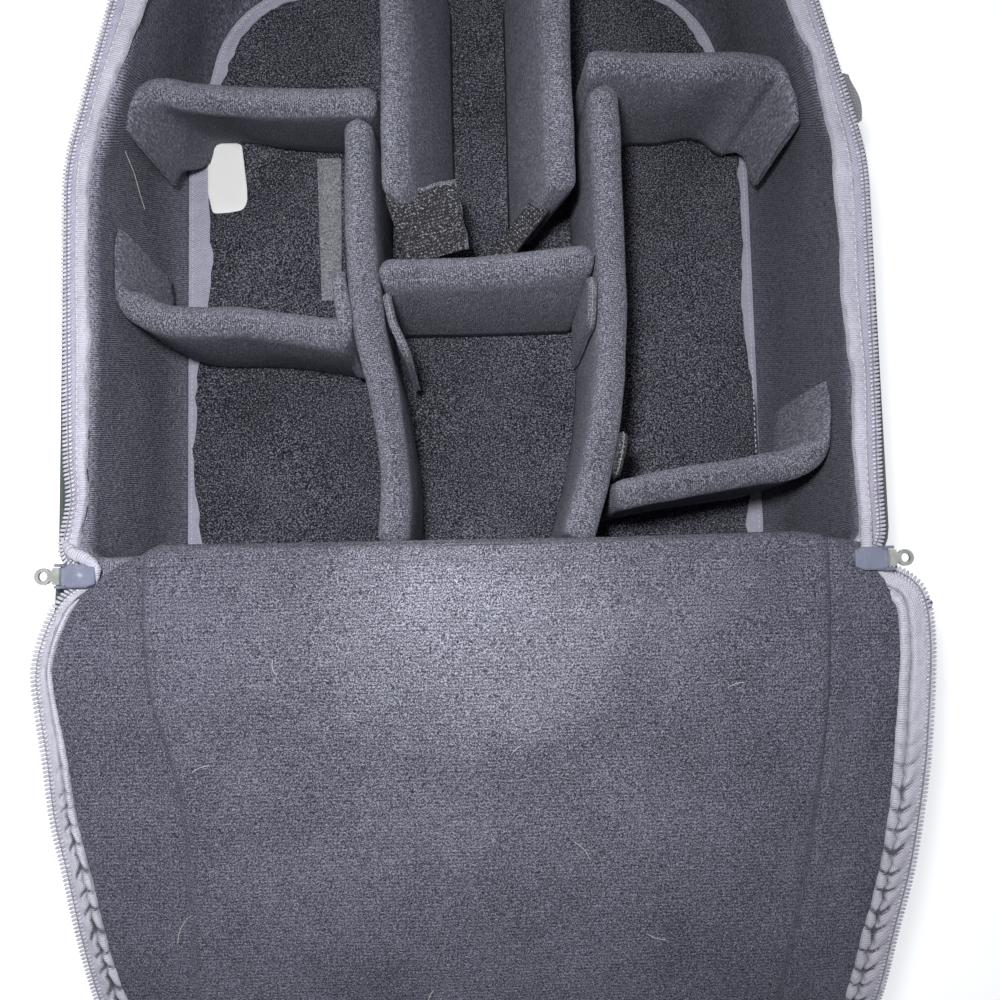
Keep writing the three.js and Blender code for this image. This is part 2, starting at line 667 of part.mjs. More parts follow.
// Side pockets: cloth pouches on both flanks, rounded off at their upper ends.
const pocketRows = [
  { reach: 0, depth: 0.35, low: 0.12, high: 0.9 },
  { reach: 0.06, depth: 0.9, low: 0.02, high: 0.98 },
  { reach: 0.5, depth: 1, low: 0, high: 1 },
  { reach: 0.88, depth: 0.95, low: 0, high: 0.98 },
  { reach: 0.97, depth: 0.7, low: 0.05, high: 0.92 },
  { reach: 1, depth: 0.25, low: 0.15, high: 0.8 },
];
const pocketEase = 3;
const bulgeLevel = wallLevels.reduce((most, level) => (level.inset < most.inset ? level : most));
function sidePocket(name, side) {
  const base = outerFace(pocketStart * 4, bulgeLevel.z) + clearance;
  addPart(name, skin(pocketRows.map(({ reach, depth, low, high }) => {
    const t = pocketStart + reach * (pocketEnd - pocketStart);
    const out = base + depth * pocketDepth;
    const [zLow, zHigh] = [pocketLift + low * pocketHeight, pocketLift + high * pocketHeight];
    const shoulder = mix(base, out, 0.7);
    const section = [
      [base, zLow], [shoulder, zLow + pocketEase], [out, mix(zLow, zHigh, 0.25)],
      [out, mix(zLow, zHigh, 0.75)], [shoulder, zHigh - pocketEase], [base, zHigh],
    ];
    return section.map(([x, z]) => atT(side * x, t, z));
  })), packCloth);
}
sidePocket('left_side_pocket', -1);
sidePocket('right_side_pocket', 1);

// Webbing tab on the right flank, above the pocket.
const tabT = pocketEnd + 6;
const tabBottom = pocketLift + pocketHeight - 6;
const tabStand = 6;
const tabBreadth = 8;
addPart('right_side_tab', skin([0, 1].map((end) => {
  const t = tabT + end * sideTabLength;
  const base = outerFace(t, tabBottom) + clearance;
  const section = [[0, 0], [tabStand, 1], [tabStand, tabBreadth - 1], [0, tabBreadth]];
  return section.map(([out, up]) => atT(base + out, t, tabBottom + up));
})), greyWebbing);

// Zip sliders at both ends of the opening, each with two lugs that hold a turning pull.
const sliderInner = packWidth / 2 - sliderInset;
const sliderBase = packDepth;
const plateTop = sliderBase + sliderPlate * 2 + sliderGap;
const barrelRadius = pullThickness / 2;
const pivotX = sliderInner + sliderLength - 0.6;
const pivotZ = plateTop + barrelRadius + clearance + 0.5;

function platePoints(inset) {
  const [w, l] = [sliderWidth / 2 - inset, sliderLength - inset];
  return [[inset, -w * 0.7], [sliderLength * 0.25, -w], [l - 2, -w], [l, -w * 0.6],
    [l, w * 0.6], [l - 2, w], [sliderLength * 0.25, w], [inset, w * 0.7]];
}
// Heights and insets of one skin that goes up the lower plate, the neck and the upper plate.
const sliderLevels = [
  { z: sliderBase, inset: 0.5 },
  { z: sliderBase + 0.4, inset: 0 },
  { z: sliderBase + sliderPlate, inset: 0 },
  { z: sliderBase + sliderPlate, inset: 1.6 },
  { z: sliderBase + sliderPlate + sliderGap, inset: 1.6 },
  { z: sliderBase + sliderPlate + sliderGap, inset: 0 },
  { z: plateTop - 0.4, inset: 0 },
  { z: plateTop, inset: 0.5 },
];
const lugHalf = pullWidth / 2 + clearance;
const lugHeight = pivotZ - plateTop + barrelRadius + 0.6;

const wasm = await Module();
wasm.setup();
function asSolid(geometry) {
  const bare = geometry.clone();
  bare.deleteAttribute('normal');
  bare.deleteAttribute('uv');
  const merged = mergeVertices(bare, 1e-4);
  const vertProperties = new Float32Array(merged.attributes.position.array);
  const triVerts = new Uint32Array(merged.index.array);
  return new wasm.Manifold(new wasm.Mesh({ numProp: 3, vertProperties, triVerts }));
}
// One die-cast body from overlapping pieces.
function joined(geometries) {
  const whole = geometries.map(asSolid).reduce((sum, piece) => sum.add(piece));
  const { vertProperties, triVerts } = whole.getMesh();
  const geometry = new THREE.BufferGeometry();
  geometry.setAttribute('position', new THREE.Float32BufferAttribute(vertProperties, 3));
  geometry.setIndex(Array.from(triVerts));
  return geometry;
}
// A lug stands on the upper plate beside the pull; its outline is [along, up].
const lugOutline = [
  [-2.6, -0.5], [0.4, -0.5], [0.9, 1.2], [0.6, lugHeight], [-1.2, lugHeight], [-2.2, 1.6],
];
function lugRings(side, edge) {
  return [edge, edge + lugThickness].map((across) => lugOutline.map(
    ([out, up]) => atT(side * (pivotX + out), sliderT + across, plateTop + up),
  ));
}
// The pull: a bar between the lugs, a neck and a ring, seen from above as [along, across].
const ringRadius = pullWidth / 2;
const ringHole = 1.6;
const neckHalf = 1.5;
const barEnd = 1.2;
const neckStart = 2;
function pullGeometry() {
  const shape = new THREE.Shape();
  const bar = pullWidth / 2;
  shape.moveTo(-barrelRadius, -bar);
  shape.lineTo(barEnd, -bar);
  shape.lineTo(neckStart, -neckHalf);
  shape.absarc(pullLength - ringRadius, 0, ringRadius, -Math.PI * 0.82, Math.PI * 0.82);
  shape.lineTo(neckStart, neckHalf);
  shape.lineTo(barEnd, bar);
  shape.lineTo(-barrelRadius, bar);
  const hole = new THREE.Path();
  hole.absarc(pullLength - ringRadius, 0, ringHole, 0, Math.PI * 2, true);
  shape.holes.push(hole);
  return new THREE.ExtrudeGeometry(shape, {
    depth: pullThickness, bevelEnabled: false, curveSegments: 6,
  });
}
function addSlider(sideName, side) {
  const plates = skin(sliderLevels.map(({ z, inset }) => platePoints(inset).map(
    ([out, across]) => atT(side * (sliderInner + out), sliderT + across, z),
  )));
  const lugs = [lugHalf, -lugHalf - lugThickness].map((edge) => skin(lugRings(side, edge)));
  addPart(`${sideName}_slider`, joined([plates, ...lugs]), sliderEnamel);
  const pull = addPart(`${sideName}_pull`, pullGeometry(), sliderEnamel);
  pull.rotation.z = side > 0 ? 0 : Math.PI;
  pull.position.set(side * pivotX, hingeY + sliderT, pivotZ - barrelRadius);
}
addSlider('left', -1);
addSlider('right', 1);

// Harness on the outer side of the back panel: two padded straps,
// sewn to its far end and lying on the ground.
const flapUnderside = (t) => flapTopAt(t) - flapLiningThickness - flapShellThickness - clearance;
const strapNear = -flapReach * 0.9;
const strapRows = [
  { reach: 0, width: 0.8, thick: 0.5, lift: 1 },
  { reach: 0.06, width: 0.95, thick: 0.9, lift: 0.55 },
  { reach: 0.16, width: 1, thick: 1, lift: 0 },
  { reach: 0.4, width: 1, thick: 1, lift: 0 },
  { reach: 0.7, width: 0.95, thick: 1, lift: 0 },
  { reach: 0.95, width: 0.8, thick: 0.9, lift: 0 },
  { reach: 1, width: 0.6, thick: 0.5, lift: 0 },
];
const strapBow = 16;
const strapSewnZ = flapUnderside(strapNear) - clearance * 2 - strapRows[0].thick * strapThickness;
function shoulderStrap(name, side) {
  addPart(name, skin(strapRows.map(({ reach, width, thick, lift }) => {
    const t = strapNear + reach * strapLength;
    const middle = side * (strapSpacing / 2 + strapBow * Math.sin(reach * Math.PI));
    const [half, high] = [(width * strapWidth) / 2, thick * strapThickness];
    const section = [[-0.9, 0], [0.9, 0], [1, 0.4], [0.85, 1], [-0.85, 1], [-1, 0.4]];
    return section.map(([across, rise]) => atT(middle + across * half, t, lift * strapSewnZ + rise * high));
  })), packCloth);
}

// Below each strap: a ladder buckle, a webbing tail and the three-cornered anchor at the hinge corner.
const anchorNear = -4;
const anchorFar = anchorNear - anchorLength;
const anchorTip = flapHalfWidth + anchorOverhang;
const anchorBack = anchorTip - anchorWidth;
const anchorTop = (t) => {
  const share = (t - anchorNear) / (anchorFar - anchorNear);
  return mix(flapUnderside(anchorNear), flapUnderside(anchorFar), share) - clearance * 2;
};
const strapEnd = strapNear + strapLength;
const buckleRows = [
  { reach: 0, high: 0.75 },
  { reach: 0.08, high: 1 },
  { reach: 0.92, high: 1 },
  { reach: 1, high: 0.75 },
];
const webbingStart = strapEnd + clearance * 2 + buckleLength;
const webbingLift = 1;
const webbingRows = [
  { reach: 0, rise: 0 },
  { reach: 0.25, rise: 0.1 },
  { reach: 0.5, rise: 0.3 },
  { reach: 0.75, rise: 0.6 },
  { reach: 1, rise: 1 },
];
function strapTail(sideName, side) {
  const middle = (side * strapSpacing) / 2;
  const buckleHalf = webbingWidth / 2 + 4;
  addPart(`${sideName}_buckle`, skin(buckleRows.map(({ reach, high }) => {
    const t = strapEnd + clearance + reach * buckleLength;
    const section = [[-1, 0], [1, 0], [1, high], [-1, high]];
    return section.map(([across, up]) => atT(middle + across * buckleHalf, t, up * buckleThickness));
  })), bucklePlastic);
  const webT = (anchorNear + anchorFar) / 2;
  const webX = side * (anchorBack + webbingWidth / 2 + 2);
  const webZ = anchorTop(webT) - anchorThickness - clearance * 2 - webbingThickness;
  addPart(`${sideName}_webbing`, skin(webbingRows.map(({ reach, rise }) => {
    const t = mix(webbingStart, webT, reach);
    const [x, z] = [mix(middle, webX, reach), mix(webbingLift, webZ, rise)];
    const half = webbingWidth / 2;
    return [[-half, 0], [half, 0], [half, webbingThickness], [-half, webbingThickness]].map(
      ([across, up]) => atT(x + across, t, z + up),
    );
  })), greyWebbing);
  const corners = [[anchorBack, anchorNear], [anchorBack, anchorFar], [anchorTip, webT]];
  const layer = (drop) => corners.map(([x, t]) => atT(side * x, t, anchorTop(t) - drop));
  addPart(`${sideName}_strap_anchor`, skin([layer(anchorThickness), layer(0)]), packCloth);
}
for (const [sideName, side] of [['left', -1], ['right', 1]]) {
  shoulderStrap(`${sideName}_shoulder_strap`, side);
  strapTail(sideName, side);
}

export default pack;
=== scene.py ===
import math

import bmesh
import bpy
import numpy as np
from mathutils import Matrix, Vector, noise


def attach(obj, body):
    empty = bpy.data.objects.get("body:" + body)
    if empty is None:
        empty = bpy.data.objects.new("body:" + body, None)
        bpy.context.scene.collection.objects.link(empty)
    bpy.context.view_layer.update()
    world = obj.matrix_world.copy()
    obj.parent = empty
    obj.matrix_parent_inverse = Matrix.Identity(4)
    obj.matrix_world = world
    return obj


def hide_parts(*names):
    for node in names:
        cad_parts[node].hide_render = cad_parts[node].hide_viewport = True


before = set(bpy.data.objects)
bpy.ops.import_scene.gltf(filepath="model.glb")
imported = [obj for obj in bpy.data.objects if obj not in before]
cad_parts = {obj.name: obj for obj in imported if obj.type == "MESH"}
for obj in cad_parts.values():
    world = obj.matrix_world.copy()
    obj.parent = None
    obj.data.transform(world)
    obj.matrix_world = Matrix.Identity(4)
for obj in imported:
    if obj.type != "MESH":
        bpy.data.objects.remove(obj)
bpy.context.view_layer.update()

# The view and the studio
# The camera hangs over the foot of the open pack and tips a little towards it.
# One small lamp beside it throws the thin shadows; the pale surroundings fill the rest.
FOCAL_PIXELS = 1085
down = Vector((478.6 - 500, 500 - 600, -FOCAL_PIXELS)).normalized()
roll = Vector((-0.021, 1, 0))
north = (roll - roll.dot(down) * down).normalized()
east = north.cross(-down)
camera = bpy.data.objects.new("studio_camera", bpy.data.cameras.new("studio_camera"))
camera.data.sensor_width = 36
camera.data.lens = FOCAL_PIXELS * 36 / 1000
camera.data.clip_start = 0.01
camera.matrix_world = Matrix.Translation((0, -0.1628, 0.53)) @ Matrix((east, north, -down)).to_4x4()
bpy.context.scene.collection.objects.link(camera)
bpy.context.scene.camera = camera

lamp = bpy.data.objects.new("studio_lamp", bpy.data.lights.new("studio_lamp", "SPOT"))
lamp.data.shadow_soft_size = 0.018
lamp.data.spot_size = math.radians(94)
lamp.data.spot_blend = 1
lamp.data.energy = 9.9
lamp.location = (-0.028, -0.12, 0.56)
lamp.rotation_euler = (Vector((-0.045, -0.09, 0.13)) - lamp.location).to_track_quat("-Z", "Y").to_euler()
bpy.context.scene.collection.objects.link(lamp)

surroundings = bpy.data.worlds.new("studio")
surroundings.use_nodes = True
surroundings.node_tree.nodes["Background"].inputs["Color"].default_value = (0.97, 0.98, 1, 1)
surroundings.node_tree.nodes["Background"].inputs["Strength"].default_value = 0.28
bpy.context.scene.world = surroundings
bpy.context.scene.view_settings.view_transform = "Standard"

floor_mesh = bpy.data.meshes.new("studio_floor")
floor_mesh.from_pydata([(-4, -4, -6e-4), (4, -4, -6e-4), (4, 4, -6e-4), (-4, 4, -6e-4)], [], [(0, 1, 2, 3)])
studio_floor = bpy.data.objects.new("studio_floor", floor_mesh)
pale = bpy.data.materials.new("pale_floor")
pale.use_nodes = True
pale_shader = pale.node_tree.nodes["Principled BSDF"]
pale_shader.inputs["Base Color"].default_value = (0.93, 0.94, 0.95, 1)
pale_shader.inputs["Roughness"].default_value = 0.9
pale_shader.inputs["Emission Color"].default_value = (0.95, 0.97, 1, 1)
pale_shader.inputs["Emission Strength"].default_value = 0.62
floor_mesh.materials.append(pale)
bpy.context.scene.collection.objects.link(studio_floor)


# Outer bag: front panel and side walls
# A tub of coated woven cloth that lies on its front panel, open at the top where the zip runs.
# Its panels are cut flat and sewn together with a corded seam round the bottom edge.
MM = 0.001
PACK_LENGTH = 308
WALL_TOP = 146


def bend(table, at):
    """The value of a table of (place, value) rows, on a smooth curve through them."""
    xs, ys = np.array(table, float).T
    slopes = np.gradient(ys, xs)
    at = np.asarray(at, float)
    i = np.clip(np.searchsorted(xs, at) - 1, 0, len(xs) - 2)
    run = xs[i + 1] - xs[i]
    s = np.clip((at - xs[i]) / run, 0, 1)
    start = (2 * s**3 - 3 * s**2 + 1) * ys[i] + (s**3 - 2 * s**2 + s) * run * slopes[i]
    return start + (3 * s**2 - 2 * s**3) * ys[i + 1] + (s**3 - s**2) * run * slopes[i + 1]


def crumple(points, size, seed=0):
    """Soft unevenness from -1 to 1 at each point, its hollows about size mm apart."""
    flat = points.reshape(-1, 3) / size + 17.3 * seed
    return np.array([noise.noise(Vector(p)) for p in flat]).reshape(points.shape[:-1])


def smooth(low, high, value):
    share = np.clip((value - low) / (high - low), 0, 1)
    return share * share * (3 - 2 * share)


def skin(name, rows, finish, around=True, closed=False, ends=True, turned=False, sharp=60):
    """A mesh through rows of points (x, t, z) in mm, t from the hinge; its UVs are real lengths."""
    rows = np.asarray(rows, float)
    count, wide = rows.shape[:2]
    points = (rows - (0, PACK_LENGTH / 2, 0)).reshape(-1, 3) * MM
    turns = count if closed else count - 1
    wraps = wide if around else wide - 1
    first = np.arange(turns)[:, None] * wide + np.arange(wraps)
    beside = np.arange(turns)[:, None] * wide + (np.arange(wraps) + 1) % wide
    whole = count * wide
    faces = np.stack([first, beside, (beside + wide) % whole, (first + wide) % whole], -1)
    across = np.linalg.norm(np.roll(rows, -1, 1) - rows, axis=2).mean(0)
    along = np.linalg.norm(np.roll(rows, -1, 0) - rows, axis=2).mean(1)
    u = np.concatenate([[0], np.cumsum(across)]) * MM
    v = np.concatenate([[0], np.cumsum(along)]) * MM
    i, j = np.tile(np.arange(wraps), turns), np.repeat(np.arange(turns), wraps)
    uv = np.stack([u[i], v[j], u[i + 1], v[j], u[i + 1], v[j + 1], u[i], v[j + 1]], -1).reshape(-1, 2)
    if turned:
        uv = uv[:, ::-1]
    caps = []
    if ends and around and not closed:
        caps = [list(range(wide))[::-1], list(range(whole - wide, whole))]
    mesh = bpy.data.meshes.new(name)
    mesh.from_pydata(points.tolist(), [], faces.reshape(-1, 4).tolist() + caps)
    layer = mesh.uv_layers.new(name="lengths")
    lengths = np.concatenate([uv] + [points[cap][:, :2] for cap in caps])
    layer.data.foreach_set("uv", lengths.ravel())
    return finished(name, mesh, finish, around, sharp)


def finished(name, mesh, finish, solid=True, sharp=60):
    """The mesh as a smooth piece whose faces point out."""
    if solid:
        shape = bmesh.new()
        shape.from_mesh(mesh)
        bmesh.ops.recalc_face_normals(shape, faces=shape.faces)
        shape.to_mesh(mesh)
        shape.free()
    mesh.shade_smooth()
    mesh.set_sharp_from_angle(angle=math.radians(sharp))
    mesh.materials.append(finish)
    piece = bpy.data.objects.new(name, mesh)
    bpy.context.scene.collection.objects.link(piece)
    return piece


def fit(piece, slot, *nodes, body="root"):
    """The piece rides on its body and stands for the nodes, which are hidden; the slot is not used."""
    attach(piece, body)
    if nodes:
        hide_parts(*nodes)
    return piece


def outline(half, slant_start, arch):
    """The plan of the pack at one height: rounded corners and the straight runs between them."""
    top = half - (PACK_LENGTH - slant_start) * math.tan(math.radians(14))
    corners = [
        (-half, 0, 14, 6), (-half, slant_start, 90, 8), (-top, PACK_LENGTH, arch, 20),
        (top, PACK_LENGTH, arch, 20), (half, slant_start, 90, 8), (half, 0, 14, 6),
    ]
    runs = (36, 16, 12, 16, 36, 60)
    arcs = []
    for i, (x, t, radius, steps) in enumerate(corners):
        here = np.array((x, t), float)
        arriving = here - corners[i - 1][:2]
        leaving = corners[(i + 1) % 6][:2] - here
        arriving, leaving = arriving / np.linalg.norm(arriving), leaving / np.linalg.norm(leaving)
        turn = math.acos(np.clip(arriving @ leaving, -1, 1))
        inward = np.array((arriving[1], -arriving[0]))
        centre = here - arriving * radius * math.tan(turn / 2) + inward * radius
        angle = -turn * np.arange(steps + 1)[:, None] / steps
        radial = inward * np.cos(angle) + np.array((-inward[1], inward[0])) * np.sin(angle)
        arcs.append(np.hstack([centre - radial * radius, radial]))
    samples = []
    for i, arc in enumerate(arcs):
        after = arcs[(i + 1) % 6][0]
        share = np.arange(1, runs[i])[:, None] / runs[i]
        samples += [arc, arc[-1] + (after - arc[-1]) * share]
    return np.vstack(samples)


RIM = outline(146, 150, 72)
FOOT = outline(148, 215, 62)
SIDE_PROFILE = [(0, 13), (0.025, 5.85), (0.07, 1.56), (0.14, -0.9), (0.45, -2.5), (0.8, -1.5), (1, 0)]


def wall_inset(z):
    return bend(SIDE_PROFILE, np.clip(z / WALL_TOP, 0, 1))


def ring_at(inset, z):
    """The points of the plan at height z, moved inwards by inset, which may differ from point to point."""
    mixed = FOOT + (RIM - FOOT) * (z / WALL_TOP)
    inward = mixed[:, 2:] / np.linalg.norm(mixed[:, 2:], axis=1)[:, None]
    flat = mixed[:, :2] + np.broadcast_to(inset, len(mixed))[:, None] * inward
    return np.column_stack([flat, np.full(len(flat), float(z))])


def add(finish, kind, feeds=None, out=0, **settings):
    """A node of the finish with its inputs fed; gives back one of its outputs."""
    made = finish.node_tree.nodes.new("ShaderNode" + kind)
    for key, value in settings.items():
        setattr(made, key, value)
    for socket, feed in (feeds or {}).items():
        if isinstance(feed, bpy.types.NodeSocket):
            finish.node_tree.links.new(feed, made.inputs[socket])
        else:
            made.inputs[socket].default_value = feed
    return made.outputs[out]


def ramp(finish, feed, *stops):
    """The colours of the stops (place, red, green, blue), spread over the fed value."""
    made = finish.node_tree.nodes.new("ShaderNodeValToRGB")
    elements = made.color_ramp.elements
    while len(elements) < len(stops):
        elements.new(0.5)
    for element, (place, *colour) in zip(elements, stops):
        element.position = place
        element.color = (*colour, 1)
    finish.node_tree.links.new(feed, made.inputs[0])
    return made.outputs[0]


def sums(finish, *parts):
    """The weighted sum of the fed values, given as (value, weight) pairs."""
    total = 0.0
    for value, weight in parts:
        total = add(finish, "Math", {0: value, 1: weight, 2: total}, operation="MULTIPLY_ADD")
    return total


def stripes(finish, feed, pitch):
    """A wave from 0 to 1 that repeats at each pitch, in metres, of the fed length."""
    turn = add(finish, "Math", {0: feed, 1: 2 * math.pi / pitch}, operation="MULTIPLY")
    wave = add(finish, "Math", {0: turn}, operation="SINE")
    return add(finish, "Math", {0: wave, 1: 0.5, 2: 0.5}, operation="MULTIPLY_ADD")


def new_finish(name, roughness, **fixed):
    finish = bpy.data.materials.new(name)
    finish.use_nodes = True
    shader = finish.node_tree.nodes["Principled BSDF"]
    shader.inputs["Roughness"].default_value = roughness
    for socket, value in fixed.items():
        shader.inputs[socket.replace("_", " ")].default_value = value
    return finish, shader


def surface(finish, shader, colour, relief, depth, strength=1.0):
    """Feeds the colour and a bump of the given depth in metres to the shader."""
    finish.node_tree.links.new(colour, shader.inputs["Base Color"])
    made = finish.node_tree.nodes.new("ShaderNodeBump")
    made.inputs["Strength"].default_value = strength
    made.inputs["Distance"].default_value = depth
    finish.node_tree.links.new(relief, made.inputs["Height"])
    finish.node_tree.links.new(made.outputs[0], shader.inputs["Normal"])


def spot(finish, scale, detail=2.0, stretch=None):
    """Noise in the real size of the piece: its grain is 1/scale metres."""
    place = add(finish, "TexCoord", out=3)
    if stretch:
        place = add(finish, "Mapping", {0: place, 3: stretch})
    return add(finish, "TexNoise", {"Vector": place, "Scale": scale, "Detail": detail, "Roughness": 0.6})


def lengths(finish):
    """The two real lengths over the piece: along its section and along its rows."""
    uv = add(finish, "TexCoord", out=2)
    split = finish.node_tree.nodes.new("ShaderNodeSeparateXYZ")
    finish.node_tree.links.new(uv, split.inputs[0])
    return split.outputs[0], split.outputs[1]


def woven(name, dark, light, pitch=0.0009, roughness=0.62, sheen=0.25):
    """Plain woven cloth: two crossing sets of threads, faded patches and rubbed spots."""
    finish, shader = new_finish(name, roughness, Sheen_Weight=sheen, Sheen_Roughness=0.4)
    u, v = lengths(finish)
    warp, weft = stripes(finish, u, pitch), stripes(finish, v, pitch)
    cross = add(finish, "Math", {0: warp, 1: weft}, operation="MULTIPLY")
    worn = sums(finish, (cross, 0.45), (spot(finish, 18, 4), 0.45), (spot(finish, 700), 0.35))
    colour = ramp(finish, worn, (0.3, *dark), (0.75, *light))
    surface(finish, shader, colour, sums(finish, (cross, 1.0), (spot(finish, 900), 0.5)), 0.0002)
    return finish


pack_cloth = woven("slate_green_cloth", (0.035, 0.05, 0.05), (0.1, 0.125, 0.125))
heights = np.array(
    [0, 0.7, 1.8, 3.2, 5, 7.5, 10.5, 14, 19, 25, 33, 43, 54, 66, 78, 90, 102, 113, 123, 132, 139, 144, 146]
)
outside = np.array([ring_at(wall_inset(z), z) for z in heights])
ease = smooth(4, 20, outside[..., 2]) * (1 - smooth(136, 146, outside[..., 2]))
dents = (1.5 * crumple(outside, 60) + 0.6 * crumple(outside, 22, 1)) * ease
outside = np.array([ring_at(wall_inset(z) - d, z) for z, d in zip(heights, dents)])
inside = [ring_at(wall_inset(z) + 2, z) for z in (146, 120, 80, 40, 14, 6, 2)]
fit(skin("outer_bag", [*outside, *inside], pack_cloth, turned=True), "pack_cloth", "shell_body")


def strand(spots, radius, sides=8):
    """Rows of a round cord along spots, in mm."""
    spots = np.asarray(spots, float)
    ahead = np.gradient(spots, axis=0)
    ahead /= np.linalg.norm(ahead, axis=1)[:, None]
    side = np.cross(ahead, (0, 0, 1.0))
    side /= np.linalg.norm(side, axis=1)[:, None]
    up = np.cross(side, ahead)
    angle = np.arange(sides) * 2 * math.pi / sides
    swing = np.cos(angle)[None, :, None] * side[:, None] + np.sin(angle)[None, :, None] * up[:, None]
    return spots[:, None] + radius * swing


piping_cloth = woven("seam_piping", (0.05, 0.06, 0.062), (0.11, 0.13, 0.13), 0.0007)
for name, z in (("bottom_piping", 9.0), ("rim_piping", 143.0)):
    line = ring_at(wall_inset(z) - 0.6, z)
    fit(skin(name, strand(np.vstack([line, line[:1]]), 1.3), piping_cloth), "pack_cloth")


# Padded walls
# Foam board covered in brushed loop knit lines the sides, so that divider tabs grip it anywhere.
# The knit is heathered charcoal, with paler loops and stray fibres.
def knit(
        name, dark, light, fleck, rib, rib_pitch=0.00085, grain=2000, sheen=0.14, tall=0.17, painted_light_pool=None,
        depth=0.0012):
    """Brushed loop knit: curled fibres, faint rows of stitches, and an optional painted pool of light, palest
    round a centre.
    """
    finish, shader = new_finish(
        name, 0.95, Sheen_Weight=sheen, Sheen_Roughness=0.5, Sheen_Tint=(0.72, 0.74, 0.9, 1),
        Specular_IOR_Level=0.15,
    )
    u, v = lengths(finish)
    wander = sums(finish, (v, 1.0), (spot(finish, 120), 0.0011))
    rows = stripes(finish, wander, rib_pitch)
    place = add(finish, "Mapping", {0: add(finish, "TexCoord", out=3), 3: (1, 1, tall)})
    curls = add(finish, "TexVoronoi", {"Vector": place, "Scale": grain * 0.7}, feature="F1")
    fuzz = spot(finish, grain, 3, (1, 1, tall))
    patch = spot(finish, 26, 3)
    shown = sums(finish, (fuzz, 1.5), (patch, 0.2), (rows, rib), (curls, -0.25))
    base = ramp(finish, shown, (0.5, *dark), (0.74, *light), (1.0, *fleck))
    flecks = ramp(finish, spot(finish, grain * 0.5, 1, (1, 1, tall)), (0.68, 0, 0, 0), (0.75, 1, 1, 1))
    colour = add(
        finish, "Mix", {0: flecks, 6: base, 7: (*fleck, 1)}, out=2, data_type="RGBA", blend_type="MIX",
    )
    # Painted light: the colour is multiplied down with distance from the centre, a painted pool of light that
    # is palest at the centre and darker far from it.
    if painted_light_pool:
        centre, reach, halfway, far = painted_light_pool
        place = add(finish, "Mapping", {0: add(finish, "TexCoord", out=3), 3: (1, 1, 0)})
        away = add(finish, "VectorMath", {0: place, 1: centre}, out=1, operation="DISTANCE")
        away = sums(finish, (away, 1.0), (spot(finish, 14, 3), reach * 0.5), (reach, -0.25))
        painted_light_falloff = ramp(
            finish, add(finish, "Math", {0: away, 1: reach}, operation="DIVIDE"), (0, 1, 1, 1),
            (0.5, *halfway), (1, *far)
        )
        colour = add(
            finish, "Mix", {0: 1.0, 6: colour, 7: painted_light_falloff}, out=2, data_type="RGBA", blend_type="MULTIPLY"
        )
    relief = sums(finish, (fuzz, 1.0), (curls, 0.5), (rows, rib * 2))
    surface(finish, shader, colour, relief, depth)
    return finish


# The walls carry painted light: palest along the middle of the left wall, darker towards its ends and towards
# the right wall.
wall_knit = knit(
    "wall_loop_knit", (0.008, 0.009, 0.014), (0.145, 0.152, 0.22), (0.5, 0.5, 0.6), 0.25, sheen=0.22,
    painted_light_pool=((-0.15, 0.0, 0), 0.32, (0.88, 0.88, 0.89), (0.5, 0.5, 0.53))
)
PAD_OUTER, PAD_INNER = 2.3, 10.3
pad_heights = np.array([4, 8, 14, 22, 32, 44, 56, 68, 80, 92, 103, 113, 122, 130, 137, 142, 144.8, 145.8])
pad_inside = np.array([ring_at(wall_inset(z) + PAD_INNER, z) for z in pad_heights])
rounding = np.interp(pad_heights, [142, 144.8, 145.8], [0, 1, 2.4])[:, None]
softness = smooth(8, 30, pad_inside[..., 2])
bumps = (1.0 * crumple(pad_inside, 48, 2) + 0.45 * crumple(pad_inside, 17, 3)) * softness
pad_inside = [
    ring_at(wall_inset(z) + PAD_INNER + bump - round_, z)
    for z, bump, round_ in zip(pad_heights, bumps, rounding)
]
pad_outside = [ring_at(wall_inset(z) + PAD_OUTER, z) for z in pad_heights[::-1]]
walls = skin("wall_padding_visual", [*pad_inside, *pad_outside], wall_knit, closed=True, turned=True)
fit(walls, "loop_knit", "wall_padding")


# Padded floor
# The front panel's foam, covered in the same knit and tucked under the foot of the walls.
# The dividers stand on it.
floor_knit = knit(
    "floor_loop_knit", (0.004, 0.004, 0.006), (0.033, 0.035, 0.048), (0.3, 0.3, 0.36), 0.04, grain=1500,
    sheen=0.12, tall=1.0, depth=0.0007
)
FLOOR_TOP = 14.3
FLOOR_EDGE = wall_inset(14.0) + PAD_INNER
floor_rings = [ring_at(FLOOR_EDGE + 2.6, 2.3), ring_at(FLOOR_EDGE + 1.2, 7), ring_at(FLOOR_EDGE + 1.2, 12.4)]
middle = np.array((0, 150.0))
for share in np.linspace(1, 0.02, 34):
    ring = ring_at(FLOOR_EDGE + 2.2, FLOOR_TOP)
    ring[:, :2] = middle + (ring[:, :2] - middle) * share
    ring[:, 2] -= 0.15 + 0.5 * (1 + crumple(ring, 30, 4)) * 0.5
    floor_rings.append(ring)
floor_pad = skin("floor_padding_visual", floor_rings, floor_knit)
fit(floor_pad, "loop_knit", "floor_padding")


# Seam tape round the floor
# A lilac twill tape that covers the joint of floor and walls, sewn down with white thread.
# Its free edge wanders, and the foot of the wall covers it in places.
# Painted shade: a per-point attribute darkens the colour of the tape and binding in their folds.
def folds_and_painted_shade(finish):
    """The painted shade that the piece carries in its folds at its points, from 0 to 1."""
    return add(finish, "Attribute", out=2, attribute_name="folds_and_painted_shade")


def with_painted_fold_shade(piece, fold_shades):
    """Gives each point of the piece its painted fold shade."""
    layer = piece.data.attributes.new("folds_and_painted_shade", "FLOAT", "POINT")
    layer.data.foreach_set("value", np.asarray(fold_shades, float).ravel())
    return piece


